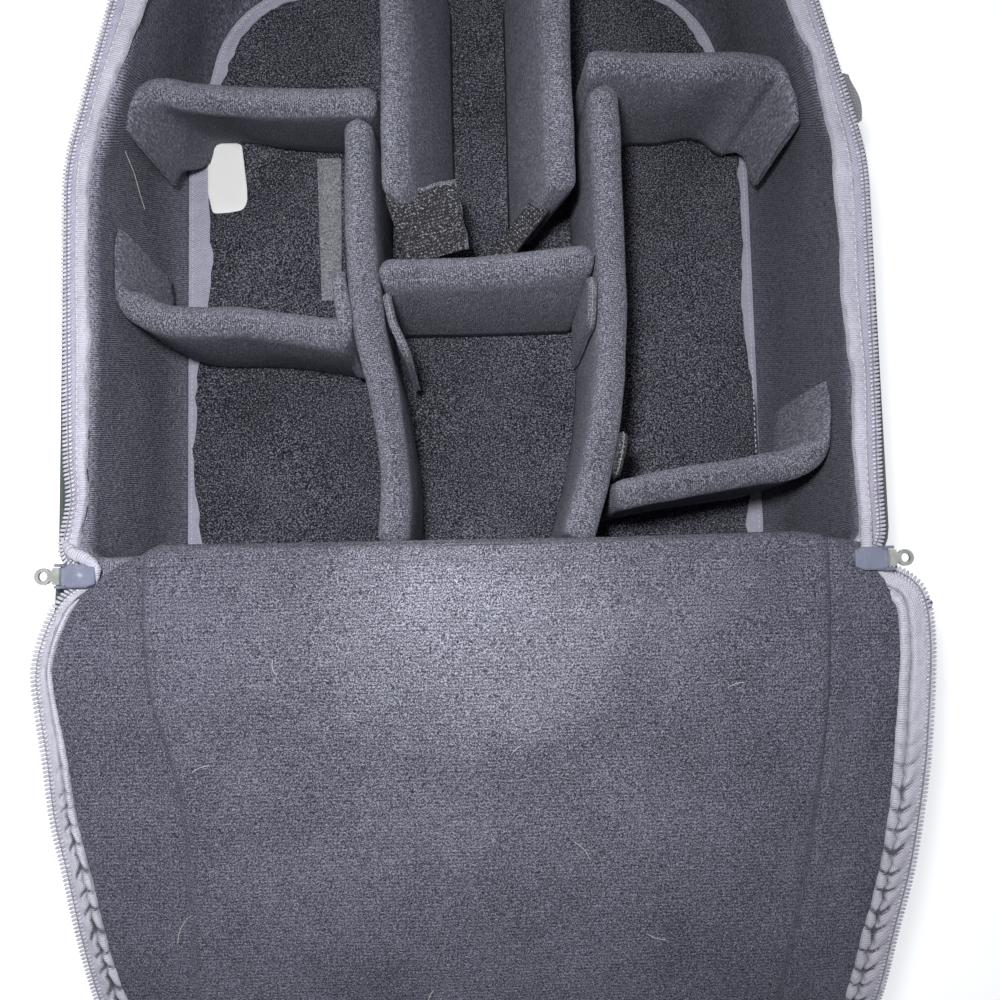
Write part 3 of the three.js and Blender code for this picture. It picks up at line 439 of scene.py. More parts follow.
def herringbone(name, light, dark, deep=(0.1, 0.1, 0.13), pitch=0.0011, turn=0.0017, sheen=0.3):
    """Twill tape: slanting ribs that change their direction in narrow columns, with painted shade in its folds
    down to the deep colour.
    """
    finish, shader = new_finish(name, 0.72, Sheen_Weight=sheen, Sheen_Roughness=0.4)
    u, v = lengths(finish)
    zigzag = add(finish, "Math", {0: u, 1: turn}, operation="PINGPONG")
    ribs = stripes(finish, sums(finish, (v, 1.0), (zigzag, 1.0)), pitch)
    shade = sums(
        finish, (ribs, 0.35), (spot(finish, 60, 4), 0.5), (spot(finish, 1500), 0.3), (folds_and_painted_shade(finish), -1.0)
    )
    colour = ramp(finish, shade, (0.0, *deep), (0.3, *dark), (0.72, *light))
    crease = spot(finish, 170, 2)
    surface(
        finish, shader, colour, sums(finish, (ribs, 0.2), (spot(finish, 1300), 0.1), (crease, 1.6)),
        0.0012
    )
    return finish


LILAC, LILAC_SHADE = (0.54, 0.53, 0.65), (0.31, 0.3, 0.39)
lilac_tape = herringbone("lilac_tape", LILAC, LILAC_SHADE)
TAPE_WIDTHS = {
    -1: [(0, 8), (17, 7.5), (30, 5.5), (45, 3.4), (65, 2.4), (85, 3.6), (108, 5.5), (125, 7.6),
        (135, 9.2), (180, 9.4),
         (205, 8.4), (225, 7), (308, 7)],
    1: [(0, 6.5), (14, 7), (40, 6), (50, 0.8), (70, 1), (85, 1.6), (100, 3), (125, 4.2), (160, 4.5),
        (190, 3.4),
        (215, 1.6), (240, 4), (308, 5)],
}
foot_line = ring_at(FLOOR_EDGE + 0.7, FLOOR_TOP + 0.3)
wobble = crumple(foot_line, 6, 5) * 1.5 + crumple(foot_line, 24, 6) * 2.0
left_width, right_width = (bend(TAPE_WIDTHS[side], foot_line[:, 1]) for side in (-1, 1))
tape_width = np.where(foot_line[:, 0] < 0, left_width, right_width) + wobble
tape_width = np.maximum(tape_width * smooth(9, 13, foot_line[:, 1] + 0.5 * wobble), 0.5)
lift = 0.5 * (1 + crumple(foot_line, 11, 7))
tape_rows = []
for share, rise in ((0, 0), (0, 0.8), (0.5, 0.9), (1, 0.8), (1, 0)):
    row = ring_at(FLOOR_EDGE + 0.7 + tape_width * share, FLOOR_TOP + 0.3 + rise)
    row[:, 2] += lift * share
    tape_rows.append(row)
seam_tape = skin("floor_seam_tape_visual", tape_rows, lilac_tape, closed=True, turned=True)
fit(seam_tape, "zip_tape", "floor_seam_tape")


def bead(length, radius, sides=6, blunt=0.38):
    """A short rod with rounded ends, lying along its first axis."""
    angle = np.arange(sides) * 2 * math.pi / sides
    rings = []
    for place, full in ((-0.5, 0.35), (-blunt, 1), (blunt, 1), (0.5, 0.35)):
        ring = np.column_stack([
            np.full(sides, place * length), radius * full * np.cos(angle), radius * full * np.sin(angle),
        ])
        rings.append(ring)
    return np.array(rings)


def sow(name, grain, spots, first, second, third, finish):
    """One mesh of many like grains, each set at its spot on its own three axes."""
    rings, sides = grain.shape[:2]
    local = grain.reshape(-1, 3)
    axes = np.stack([first, second, third], 1)
    points = spots[:, None] + np.einsum("ij,njk->nik", local, axes)
    a = np.arange(rings - 1)[:, None] * sides + np.arange(sides)
    b = np.arange(rings - 1)[:, None] * sides + (np.arange(sides) + 1) % sides
    quads = np.stack([a, b, b + sides, a + sides], -1).reshape(-1, 4)
    starts = np.arange(len(spots)) * rings * sides
    faces = (quads[None] + starts[:, None, None]).reshape(-1, 4).tolist()
    for start in starts.tolist():
        faces.append(list(range(start, start + sides))[::-1])
        faces.append(list(range(start + (rings - 1) * sides, start + rings * sides)))
    mesh = bpy.data.meshes.new(name)
    mesh.from_pydata(((points.reshape(-1, 3) - (0, PACK_LENGTH / 2, 0)) * MM).tolist(), [], faces)
    return finished(name, mesh, finish)


class Line:
    """A seam line in even steps of mm: its spots and, at each, the ways ahead, inwards and up."""

    def __init__(self, points, step, closed=False):
        points = np.asarray(points, float)
        if closed:
            points = np.vstack([points, points[:1]])
        chord = np.concatenate([[0], np.cumsum(np.linalg.norm(np.diff(points, axis=0), axis=1))])
        self.length = chord[-1]
        self.at = np.linspace(0, chord[-1], max(4, round(chord[-1] / step) + 1))
        if closed:
            self.at = self.at[:-1]
        self.spots = np.column_stack([np.interp(self.at, chord, column) for column in points.T])
        self.ahead = np.gradient(self.spots, axis=0)
        self.ahead /= np.linalg.norm(self.ahead, axis=1)[:, None]
        flat = self.ahead * (1, 1, 0)
        self.inward = np.column_stack([flat[:, 1], -flat[:, 0], np.zeros(len(flat))])
        self.inward /= np.linalg.norm(self.inward, axis=1)[:, None]
        self.up = np.cross(self.inward, self.ahead)

    def rows(self, section):
        """Points at each spot, from a section of (inset, rise) that may differ along the line."""
        section = np.asarray(section, float)
        if section.ndim == 2:
            section = np.broadcast_to(section, (len(self.spots), *section.shape))
        return (
            self.spots[:, None] + section[..., :1] * self.inward[:, None] + section[..., 1:] * self.up[:, None]
        )


def stitches(name, line, inset, rise, length, radius, finish):
    """A row of stitches that follows a line, one at each of its spots."""
    spots = line.spots + np.reshape(inset, (-1, 1)) * line.inward + np.reshape(rise, (-1, 1)) * line.up
    return sow(name, bead(length, radius, 5), spots, line.ahead, line.inward, line.up, finish)


white_thread, thread_shader = new_finish("white_thread", 0.6, Sheen_Weight=0.3)
twist = spot(white_thread, 2500)
surface(
    white_thread, thread_shader,
    ramp(white_thread, twist, (0.3, 0.5, 0.49, 0.58), (0.7, 0.74, 0.73, 0.8)), twist, 0.0001
)
seam_line = Line(ring_at(FLOOR_EDGE + 2.6, FLOOR_TOP + 1.6), 2.6, closed=True)
fit(stitches("floor_seam_stitches", seam_line, 0, 0, 1.6, 0.3, white_thread), "zip_tape")


# Label and pale strip on the floor
# A bare white satin label is sewn in at the seam tape; a strip of pale loop tape lies beside it.
# Both lie on the floor padding.
def plate(name, corners, thickness, finish, base, curl=0.0, seed=0, radius=2.0):
    """A thin flat piece cut to its corners (x, t), which are rounded, its surface slightly uneven."""
    sharp_corners = np.array(corners, float)
    corners = []
    for here, before, after in zip(
        sharp_corners, np.roll(sharp_corners, 1, 0), np.roll(sharp_corners, -1, 0)
    ):
        back, on = before - here, after - here
        back *= min(radius / np.linalg.norm(back), 0.5)
        on *= min(radius / np.linalg.norm(on), 0.5)
        for share in (0.02, 0.35, 0.65, 0.98):
            corners.append(here + back * (1 - share) ** 2 + on * share**2)
    corners = np.array(corners)
    centre = corners.mean(0)
    rows = []
    for share, top in (
        (0.02, 0), (0.5, 0), (1, 0), (1, 1), (0.985, 1.15), (0.75, 1.2), (0.5, 1.2), (0.25, 1.2),
        (0.02, 1.2)
    ):
        flat = centre + (corners - centre) * share
        row = np.column_stack([flat, np.full(len(flat), base + thickness * top)])
        row[:, 2] += curl * (1 + crumple(row * (1, 1, 0), 16, seed)) * share
        rows.append(row)
    return skin(name, rows, finish)


satin, satin_shader = new_finish("white_satin_label", 0.42, Sheen_Weight=0.2)
satin_grain = spot(satin, 1500, 2)
satin_shade = sums(satin, (satin_grain, 0.15), (spot(satin, 70, 3), 0.6))
surface(
    satin, satin_shader, ramp(satin, satin_shade, (0.2, 0.93, 0.93, 0.92), (0.55, 1, 1, 1)), satin_grain,
    0.00006
)
LABEL = [
    (-127.3, 215.4), (-124, 217.4), (-119, 217.6), (-110.9, 215), (-110.6, 213), (-108.3, 192.5),
    (-108.2, 186),
    (-110.4, 182.2), (-117, 181), (-124.6, 180.6), (-125.4, 183), (-127.2, 191),
]
label = plate("floor_label_visual", LABEL, 0.5, satin, 15.9, curl=0.015, seed=8)
fit(label, "label_card", "floor_label")
strip_knit = knit(
    "pale_loop_strip", (0.15, 0.15, 0.175), (0.34, 0.34, 0.39), (0.55, 0.55, 0.6), 0.02, grain=1500,
    tall=1.0
)
STRIP = [(-74.4, 208), (-62.7, 208), (-63.2, 137), (-72.8, 137)]
strip = plate("floor_strip_visual", STRIP, 0.5, strip_knit, 14.5, radius=0.8)
fit(strip, "webbing", "floor_strip")


# Padded dividers
# Foam panels in folded loop knit stand on the floor; the fold makes their rounded top edge.
# Two long ones run up the pack, and shorter ones cross between them and the walls.
divider_knit = knit(
    "divider_loop_knit", (0.004, 0.0045, 0.007), (0.053, 0.057, 0.077), (0.42, 0.42, 0.5), 0.1, sheen=0.46
)
DIVIDER_FOOT, DIVIDER_TOP = 15.7, 123.0


def standing_pad(name, feet_and_tops, finish, thickness=12.0, foot=DIVIDER_FOOT, top=DIVIDER_TOP, seed=0,
                 sag=1.5, softness=1.0, end=4.5, tab=(0, 0)):
    """A standing foam panel through stations of (foot x, foot t, top x, top t), with a folded top edge.

    Its ends may run on as thin tabs without foam, whose lengths are given for the start and the end.
    """
    stations = np.array(feet_and_tops, float)
    chord = np.concatenate([[0], np.cumsum(np.linalg.norm(np.diff(stations[:, 2:], axis=0), axis=1))])
    length = chord[-1]
    at = np.linspace(0, length, max(12, round(length / 2.6)))
    at = np.unique(np.concatenate([at, np.linspace(0, end, 5), np.linspace(length - end, length, 5)]))
    spots = np.column_stack([bend(np.column_stack([chord, column]), at) for column in stations.T])
    ahead = np.gradient(spots[:, 2:], at, axis=0)
    ahead /= np.linalg.norm(ahead, axis=1)[:, None]
    side = np.column_stack([-ahead[:, 1], ahead[:, 0]])
    near_end = np.minimum(at, length - at)
    full = np.sqrt(np.clip(1 - (1 - np.clip(near_end / end, 0, 1)) ** 2, 0, 1)) * 0.6 + 0.4
    padded = np.ones(len(at))
    if tab[0]:
        padded *= smooth(tab[0] - 4, tab[0] + 9, at)
    if tab[1]:
        padded *= smooth(tab[1] - 4, tab[1] + 9, length - at)
    full = full * padded + 0.2 * (1 - padded)
    base = foot + ((30 + 6 * (1 - smooth(0, 8, near_end))) * (1 - padded))[:, None]
    height = top - base
    low = [(0, -0.38), (0.012, -0.47), (0.1, -0.5), (0.3, -0.53), (0.5, -0.54), (0.7, -0.53)]
    shoulder = 1 - thickness / (top - foot) * 0.62
    arch = [
        (shoulder + (1 - shoulder) * math.sin(a), -0.5 * math.cos(a))
        for a in np.linspace(0.15, math.pi - 0.15, 11)
    ]
    section = low + [(0.86, -0.51)] + arch + [(0.86, 0.51)] + [
        (share, -across) for share, across in reversed(low)
    ]
    share, across = np.array(section).T
    drop = sag * np.sin(np.pi * at / length) * padded + (1.2 + end * 0.3) * (
        1 - smooth(0, end + 1.5, near_end)
    )
    z = base + share[None] * (height - drop[:, None])
    wide = across[None] * thickness * full[:, None]
    x = spots[:, :1] + (spots[:, 2:3] - spots[:, :1]) * share + side[:, :1] * wide
    t = spots[:, 1:2] + (spots[:, 3:4] - spots[:, 1:2]) * share + side[:, 1:] * wide
    rows = np.stack([x, t, z], -1)
    dent = (0.8 * crumple(rows, 34, seed) + 0.35 * crumple(rows, 12, seed + 1)) * softness
    dent = dent * np.sign(across) * np.minimum(1, 4 * share)
    rows[..., 0] += side[:, :1] * dent
    rows[..., 1] += side[:, 1:] * dent
    rows[..., 2] += 0.5 * softness * crumple(rows, 20, seed + 2) * smooth(0.9, 1, share)
    return skin(name, rows, finish)


def upright(rows):
    return [(x, t, x, t) for x, t in rows]


LEFT_LONG = [(-32, 13.6), (-31, 37.6), (-34.6, 68.4), (-40.3, 98.9), (-43.4, 136.8), (-43.4, 179.6)]
RIGHT_LONG = [(38.7, 13.6), (45.3, 36), (50.7, 60.4), (54.5, 97.3), (54.6, 134.9), (53.4, 192)]
DIVIDERS = {
    "left_long_divider": (upright(LEFT_LONG), 2.0, (0, 0), ()),
    "right_long_divider": (upright(RIGHT_LONG), 2.0, (0, 0), ()),
    "top_left_divider": ([
        (-133.4, 181, -132.6, 176), (-131.6, 197, -130.2, 186.5), (-126.5, 216.5, -123.6, 192.2),
        (-112, 221.5, -110, 190.6), (-87.6, 218.1, -87.6, 188.5), (-36, 214.1, -36, 186.3),
    ], 3.0, (9, 0), ()),
    "top_right_divider": ([
        (47, 217.1, 47, 201.7), (87.6, 217.1, 87.6, 200.2), (118, 215.6, 115, 199.6),
        (126.4, 205, 123.4, 196.6),
        (128.8, 190, 126.8, 189), (130.4, 177, 129.8, 176),
    ], 2.0, (0, 18), ("top_right_wall_tab",)),
    "low_left_divider": ([
        (-135.7, 137, -135.7, 137), (-136.1, 125, -136.1, 123.5), (-134.6, 116, -134.8, 111.8),
        (-127, 112.4, -126.6, 105), (-87.6, 109.4, -87.6, 100.4), (-47.5, 103.4, -47.5, 93.6),
    ], 3.5, (23, 0), ("low_left_wall_tab",)),
    "low_right_divider": ([
        (53.4, 31.8, 53.4, 30), (80.3, 37, 80.3, 34.5), (109.5, 40.7, 109.5, 38.8), (126, 43.6, 126, 42.2),
        (133.6, 49, 133.7, 48.2), (135.6, 58, 135.6, 57), (135.8, 72, 135.8, 72),
    ], 1.5, (0, 22), ("low_right_wall_tab",)),
    "centre_divider": (
        [(-35.6, 123.2, -35.6, 118), (4.4, 123.2, 4.4, 119.5), (47.6, 123.8, 47.6, 123.2)], 3.0, (0, 0), (),
    ),
}
for seed, (node, (stations, sag, tab_ends, tab_nodes)) in enumerate(DIVIDERS.items()):
    pad = standing_pad(
        node + "_visual", stations, divider_knit, seed=10 + 3 * seed, sag=sag, tab=tab_ends,
        end=2.5 if "long" in node else 4.0,
    )
    fit(pad, "loop_knit", node, *tab_nodes)


# Cradle wings
# Two padded wings lean apart above a narrow foot and hold a camera body by its lens.
# Like the dividers, they are foam in loop knit.
CRADLE = {
    "left_cradle_wing": [(-12.8, 156.2, -29.6, 150), (-12.8, 197.1, -29.6, 191), (-12.8, 283.2, -29.6, 283.2)],
    "right_cradle_wing": [(23.7, 162.9, 36.1, 150), (23.7, 197.1, 36.1, 191), (23.7, 283.2, 36.1, 283.2)],
}
for seed, (node, stations) in enumerate(CRADLE.items()):
    wing = standing_pad(node + "_visual", stations, divider_knit, foot=14.6, seed=40 + 3 * seed, sag=0.5)
    fit(wing, "loop_knit", node)


# Divider tabs
# The short dividers end in thin flaps of knit that carry a hook patch, pressed against the long
# dividers beside them. Their folded edges are overlocked with paler thread.
def tab(name, line, finish, low=45.0, high=122.0, thickness=2.4, seed=0, corner=7.0):
    """A thin standing flap along a line of (x, t), its free upper corners rounded and its rim thickened."""
    line = np.array(line, float)
    chord = np.concatenate([[0], np.cumsum(np.linalg.norm(np.diff(line, axis=0), axis=1))])
    at = np.linspace(0, chord[-1], max(9, round(chord[-1] / 1.6)))
    spots = np.column_stack([np.interp(at, chord, column) for column in line.T])
    ahead = np.gradient(spots, axis=0)
    ahead /= np.linalg.norm(ahead, axis=1)[:, None]
    side = np.column_stack([-ahead[:, 1], ahead[:, 0]])
    near_end = np.minimum(at, chord[-1] - at)
    fall = corner - np.sqrt(np.clip(corner**2 - np.clip(corner - near_end, 0, corner) ** 2, 0, None))
    shares = np.array([0, 0.2, 0.4, 0.6, 0.8, 0.93, 0.98, 1, 1, 0.98, 0.93, 0.8, 0.6, 0.4, 0.2, 0])
    hem = np.array([0.5, 0.5, 0.5, 0.5, 0.5, 0.55, 0.62, 0.3])
    across = np.concatenate([-hem, hem[::-1]]) * thickness
    z = low + shares * ((high - fall)[:, None] - low)
    rows = np.stack([
        spots[:, :1] + side[:, :1] * across, spots[:, 1:] + side[:, 1:] * across, z,
    ], -1)
    wave = 0.7 * crumple(rows, 14, seed) * shares
    rows[..., 0] += side[:, :1] * wave
    rows[..., 1] += side[:, 1:] * wave
    rim = np.column_stack([spots, high - fall + 0.1])
    return skin(name, rows, finish), Line(rim, 1.7)


hook_tape, hook_shader = new_finish("dark_hook_tape", 0.7, Sheen_Weight=0.1)
hook_u, hook_v = lengths(hook_tape)
hook_drift = sums(hook_tape, (spot(hook_tape, 420, 2), 0.004))
hook_rows = add(
    hook_tape, "Math", {
        0: stripes(hook_tape, sums(hook_tape, (hook_u, 1.0), (hook_drift, 1.0)), 0.0011),
        1: stripes(hook_tape, sums(hook_tape, (hook_v, 1.0), (hook_drift, -0.8)), 0.0013),
    }, operation="MULTIPLY",
)
hook_shade = sums(hook_tape, (hook_rows, 0.32), (spot(hook_tape, 900, 3), 1.0))
hook_colour = ramp(
    hook_tape, hook_shade, (0.5, 0.004, 0.004, 0.006), (0.66, 0.04, 0.04, 0.052), (0.86, 0.34, 0.34, 0.4)
)
surface(hook_tape, hook_shader, hook_colour, hook_shade, 0.0008)
grey_thread, grey_shader = new_finish("grey_overlock_thread", 0.75, Sheen_Weight=0.3)
grey_twist = spot(grey_thread, 2400)
surface(
    grey_thread, grey_shader,
    ramp(grey_thread, grey_twist, (0.3, 0.13, 0.13, 0.15), (0.7, 0.34, 0.34, 0.38)), grey_twist, 0.0001
)
TABS = {
    "low_left_hook_tab": ([(-50.6, 92.5), (-49.2, 99), (-50.4, 109), (-52, 120)], divider_knit, "loop_knit"),
    "low_right_hook_tab": ([(54.2, 38.4), (57.4, 54.5)], hook_tape, "hook_tape"),
    "centre_left_hook_tab": ([(-33.4, 111), (-30.5, 98), (-25.5, 86)], divider_knit, "loop_knit"),
    "centre_right_hook_tab": ([(46.6, 116.2), (46, 96.4)], divider_knit, "loop_knit"),
}
for seed, (node, (line, finish, slot)) in enumerate(TABS.items()):
    flap_tab, rim_line = tab(
        node + "_visual", line, finish, seed=60 + seed, thickness=4.6 if "low_left" in node else 2.8
    )
    fit(flap_tab, slot, node)
    overlock = sow(
        node + "_stitches", bead(1.5, 0.28, 5), rim_line.spots, rim_line.ahead, rim_line.inward, rim_line.up,
        grey_thread,
    )
    fit(overlock, slot)


# Cradle straps
# Two strips of hook tape lean between the cradle and the centre divider and hold the wings.
# The wider one has a hem of knit along two of its edges.
def leaning_strap(name, near, far, widths, thickness, finish, seed=0):
    """A flat strap between two middles (x, t, z), its edges hemmed and its face slightly bowed."""
    near, far = np.array(near, float), np.array(far, float)
    run = far - near
    side = np.array((run[1], -run[0], 0)) / math.hypot(run[0], run[1])
    up = np.cross(side, run / np.linalg.norm(run))
    up *= np.sign(up[2])
    rows = []
    for share in np.linspace(0, 1, 16):
        width = widths[0] + (widths[1] - widths[0]) * share
        middle = near + run * share + up * 1.2 * math.sin(math.pi * share)
        across = np.array([-0.5, -0.5, -0.47, -0.43, -0.2, 0, 0.2, 0.43, 0.47, 0.5, 0.5, 0.2, -0.2])
        rise = np.array([0, 0.9, 1.3, 1.0, 0.95, 0.9, 0.95, 1.0, 1.3, 0.9, 0, -0.1, -0.1])
        rows.append(middle + np.outer(across * width, side) + np.outer(rise * thickness, up))
    return skin(name, rows, finish)


cradle_tab = leaning_strap(
    "cradle_hook_tab_visual", (-13.6, 131.6, 96), (-20.2, 156.5, 104), (26, 29), 2.0, hook_tape
)
fit(cradle_tab, "hook_tape", "cradle_hook_tab")
hem_knit = knit("tab_hem_knit", (0.03, 0.03, 0.04), (0.17, 0.17, 0.21), (0.5, 0.5, 0.58), 0.1, tall=1.0)
far_corner, near_corner = np.array((-33.6, 153.2, 105.4)), np.array((-6.6, 159.8, 105.4))
foot_corner = np.array((-1.5, 134.0, 97.6))
hem_path = [far_corner + (near_corner - far_corner) * share for share in np.linspace(0, 1, 12)]
hem_path += [near_corner + (foot_corner - near_corner) * share for share in np.linspace(0.08, 1, 12)]
hem_path = np.array(hem_path) + np.column_stack((
    0.3 * np.sin(np.arange(24) * 1.3), 0.3 * np.sin(np.arange(24) * 1.7), 0.2 * np.sin(np.arange(24) * 2.1),
))
fit(skin("cradle_hook_tab_hem", strand(hem_path, 1.0), hem_knit), "loop_knit")
cradle_strip = leaning_strap(
    "cradle_hook_strip_visual", (8.2, 132, 74), (33, 160, 88), (8, 9), 1.8, hook_tape
)
fit(cradle_strip, "hook_tape", "cradle_hook_strip")


# Zip round the opening
# A coil zip: nylon teeth sewn on a herringbone tape, then a ribbed binding that wraps the raw
# edge of the padded wall. The binding wanders and puckers where it turns a corner.
RIM_HEIGHT = 146.6
hinge_run = 59
rim_points = RIM[3:len(RIM) - hinge_run - 3]
rim_points = np.column_stack([rim_points[:, :2], np.full(len(rim_points), RIM_HEIGHT)])
RIM_SHIFT = {
    -1: [(-1, 1.5), (5, 0.0), (12.3, -0.7), (20, 0.5), (28, 1.9), (42, 0.9), (60, 0.3), (100, -0.6), (308, 0)],
    1: [(-1, 0), (4.5, 0.5), (22, 1.0), (58, 0.4), (308, 0)],
}


def rim_shift(x, t):
    """How far the zip wanders inwards from its even line."""
    return np.where(x < 0, bend(RIM_SHIFT[-1], t), bend(RIM_SHIFT[1], t))


BAND_WIDTH = {
    -1: [(-1, 0.42), (12, 0.42), (20, 0.42), (40, 0.5), (60, 0.58), (85, 0.68), (102, 0.64), (138, 0.66),
        (173, 0.6),
         (191, 0.68), (200, 0.78), (308, 0.8)],
    1: [(-1, 0.56), (14, 0.58), (32, 0.66), (50, 0.68), (67, 0.6), (85, 0.76), (102, 0.88), (120, 0.82),
        (138, 0.88),
        (160, 0.8), (180, 0.66), (190, 0.56), (200, 0.66), (308, 0.75)],
}
rim_guide = Line(rim_points, 2.0)
shifted = rim_guide.spots + rim_guide.inward * rim_shift(
    rim_guide.spots[:, 0], rim_guide.spots[:, 1]
)[:, None]
rim = Line(shifted, 1.2)


def narrowed(section, share):
    """The section with its insets beyond the teeth drawn in to a share of their width."""
    section[..., 0] = 2 + (section[..., 0] - 2) * np.reshape(share, (-1, 1))
    return section


rim_share = np.where(
    rim.spots[:, 0] < 0, bend(BAND_WIDTH[-1], rim.spots[:, 1]), bend(BAND_WIDTH[1], rim.spots[:, 1])
)


def ribbed(name, light, dark, deep=(0.1, 0.1, 0.13), pitch=0.0008):
    """Ribbed binding: fine ribs straight across the band, with painted shade in its hollows down to the deep
    colour.
    """
    finish, shader = new_finish(name, 0.75, Sheen_Weight=0.3, Sheen_Roughness=0.4)
    u, v = lengths(finish)
    ribs = stripes(finish, v, pitch)
    shade = sums(
        finish, (ribs, 0.28), (spot(finish, 55, 4), 0.6), (spot(finish, 1400), 0.25),
        (folds_and_painted_shade(finish), -1.0)
    )
    colour = ramp(finish, shade, (0.0, *deep), (0.3, *dark), (0.72, *light))
    crease = spot(finish, 150, 3)
    surface(
        finish, shader, colour, sums(finish, (ribs, 0.2), (spot(finish, 1200), 0.1), (crease, 1.8)),
        0.0014
    )
    return finish


binding_finish = ribbed("lilac_ribbed_binding", (0.63, 0.62, 0.73), (0.37, 0.365, 0.45))


def ripple(at, size, seed):
    """Unevenness along a line, from -1 to 1."""
    return crumple(np.column_stack([at, np.zeros(len(at)), np.zeros(len(at))]), size, seed)


def zip_tape(line):
    """The tape's section: a thin band from the teeth to under the binding."""
    section = np.array([(0.3, 0), (0.3, 0.8), (3, 0.85), (5.2, 1.0), (8.4, 0.9), (8.4, 0)])
    rows = np.repeat(section[None], len(line.spots), 0)
    rows[:, 1:5, 1] += 0.18 * ripple(line.at, 7, 80)[:, None]
    return rows


def binding_section(line, width, pucker, seed, start=6.4):
    """The binding's section at each spot: crowned, its inner side folded down over the padding."""
    wave = width + 1.1 * ripple(line.at, 26, seed) + 0.8 * ripple(line.at, 9, seed + 1)
    shares = np.array([0, 0, 0.12, 0.35, 0.6, 0.85, 1.0, 1.03, 0.9, 0.4])
    rises = np.array([0.9, 1.6, 2.0, 2.15, 2.2, 2.0, 1.3, -1.2, -1.4, 0.6])
    rows = np.empty((len(line.spots), len(shares), 2))
    rows[..., 0] = start + shares * wave[:, None]
    folds_and_painted_shade = 0.9 * ripple(line.at, 9, seed + 2) + pucker * ripple(line.at, 4.5, seed + 3)
    rows[..., 1] = rises + folds_and_painted_shade[:, None] * (shares * (1.1 - shares) * 3)
    return rows


rim_tape = skin("rim_zip_tape_visual", rim.rows(narrowed(zip_tape(rim), rim_share)), lilac_tape)
fit(rim_tape, "zip_tape", "rim_zip_tape")
rim_binding_section = narrowed(binding_section(rim, 6.8, 0.5, 82), rim_share)
rim_binding = skin("rim_binding_visual", rim.rows(rim_binding_section), binding_finish)
fit(rim_binding, "binding", "rim_binding")

tooth_nylon, tooth_shader = new_finish("zip_tooth_nylon", 0.35, Coat_Weight=0.15)
tooth_tint = spot(tooth_nylon, 500, 3)
surface(
    tooth_nylon, tooth_shader,
    ramp(tooth_nylon, tooth_tint, (0.3, 0.38, 0.37, 0.45), (0.7, 0.68, 0.67, 0.77)), tooth_tint, 0.00004,
)
TOOTH_PITCH = 1.5


def coil(name, line_points, slot, node, rise=1.7, hang=1.75):
    """The zip's teeth: one bent coil turn at each pitch, and the sewing thread over their roots."""
    line = Line(line_points, TOOTH_PITCH)
    tilt = line.inward + 0.22 * line.ahead
    tilt /= np.linalg.norm(tilt, axis=1)[:, None]
    ahead = np.cross(line.up, tilt)
    spots = line.spots + hang * line.inward + rise * line.up
    teeth = sow(name, bead(3.7, 0.56, 6, 0.33), spots, tilt, ahead, line.up, tooth_nylon)
    fit(teeth, slot, node)
    roots = line.spots + (hang + 0.55) * line.inward + (rise + 0.5) * line.up
    thread = sow(name + "_thread", bead(1.25, 0.26, 5), roots, line.ahead, line.inward, line.up, grey_thread)
    fit(thread, slot)


coil("rim_zip_coil_visual", rim.spots, "zip_coil", "rim_zip_coil")
rim_sewing = Line(rim.spots, 2.5)
sewing_share = np.interp(rim_sewing.at, rim.at, rim_share)
sewing_inset = 2 + 5.6 * sewing_share
fit(stitches("rim_binding_stitches", rim_sewing, sewing_inset, 2.15, 1.5, 0.24, white_thread), "binding")
BINDING_ENDS = {
    "left": [(-145, 15.5, 147.3, 0.9), (-142.4, 12.4, 149, 1.9), (-139.4, 10.2, 151.2, 2.3),
        (-135.4, 8.4, 152.6, 2.2),
             (-132, 5, 152.4, 1.9), (-132.2, 0.6, 151.4, 0.9)],
    "right": [(139.5, 18.5, 147.3, 0.9), (138, 14.5, 149, 1.8), (137, 10.4, 151, 2.1),
        (136.4, 6.8, 152.4, 2.0),
              (137.2, 4.2, 152.6, 1.6), (139.8, 2.6, 151.6, 0.8)],
}
for side, marks in BINDING_ENDS.items():
    x, t, z, size = (
        bend(np.column_stack([np.arange(6), column]), np.linspace(0, 5, 30))
        for column in np.array(marks).T
    )
    middle_line = np.column_stack([x, t, z])
    size = size + 0.16 * np.sin(np.arange(30) * 1.9)
    around_line = strand(middle_line, 1.0, 12) - middle_line[:, None]
    fold_rows = middle_line[:, None] + around_line * size[:, None, None]
    fit(skin(f"{side}_rim_binding_end", fold_rows, binding_finish), "binding")


# Back panel, folded down
# The padded back panel lies open in front of the pack: a foam core between crease lines, thinner
# gussets beyond them, heathered knit above and woven cloth below.
FLAP_HEIGHTS = [
    (0, 1), (0.03, 0.999), (0.07, 0.994), (0.14, 0.984), (0.25, 0.95), (0.37, 0.9), (0.54, 0.78),
    (0.67, 0.62),
    (0.79, 0.425), (0.88, 0.25), (0.94, 0.12), (0.98, 0.035), (1, 0),
]
FLAP_REACH = 285.0


def flap_top(t):
    return 155.3 - 130 * (1 - bend(FLAP_HEIGHTS, np.clip(-np.asarray(t, float), 0, FLAP_REACH) / FLAP_REACH))


FLAP_RIGHT = [
    (142.5, 1.5), (149.5, -1), (153.8, -3.6), (157.1, -8.9), (158.8, -15.9), (159.2, -29.9),
    (158.2, -47.1), (157, -68.7),
    (154.8, -87), (151.8, -108.7), (147, -131.5), (143.6, -156), (134, -191), (122.5, -225), (109, -251),
    (93.5, -268), (71, -279.5), (45, -285), (0, -286.5),
]
FLAP_LEFT = [
    (-135.5, 2), (-141.8, -0.6), (-144.6, -4), (-147.4, -9), (-150.2, -15), (-153, -23), (-154.4, -31),
    (-153, -42.5),
    (-150.8, -61), (-149.6, -80.5), (-146.2, -99.2), (-143, -124), (-139.3, -147.6), (-130.5, -191),
    (-120, -225),
    (-107.5, -251), (-92.5, -268), (-70.5, -279.5), (-45, -285),
]


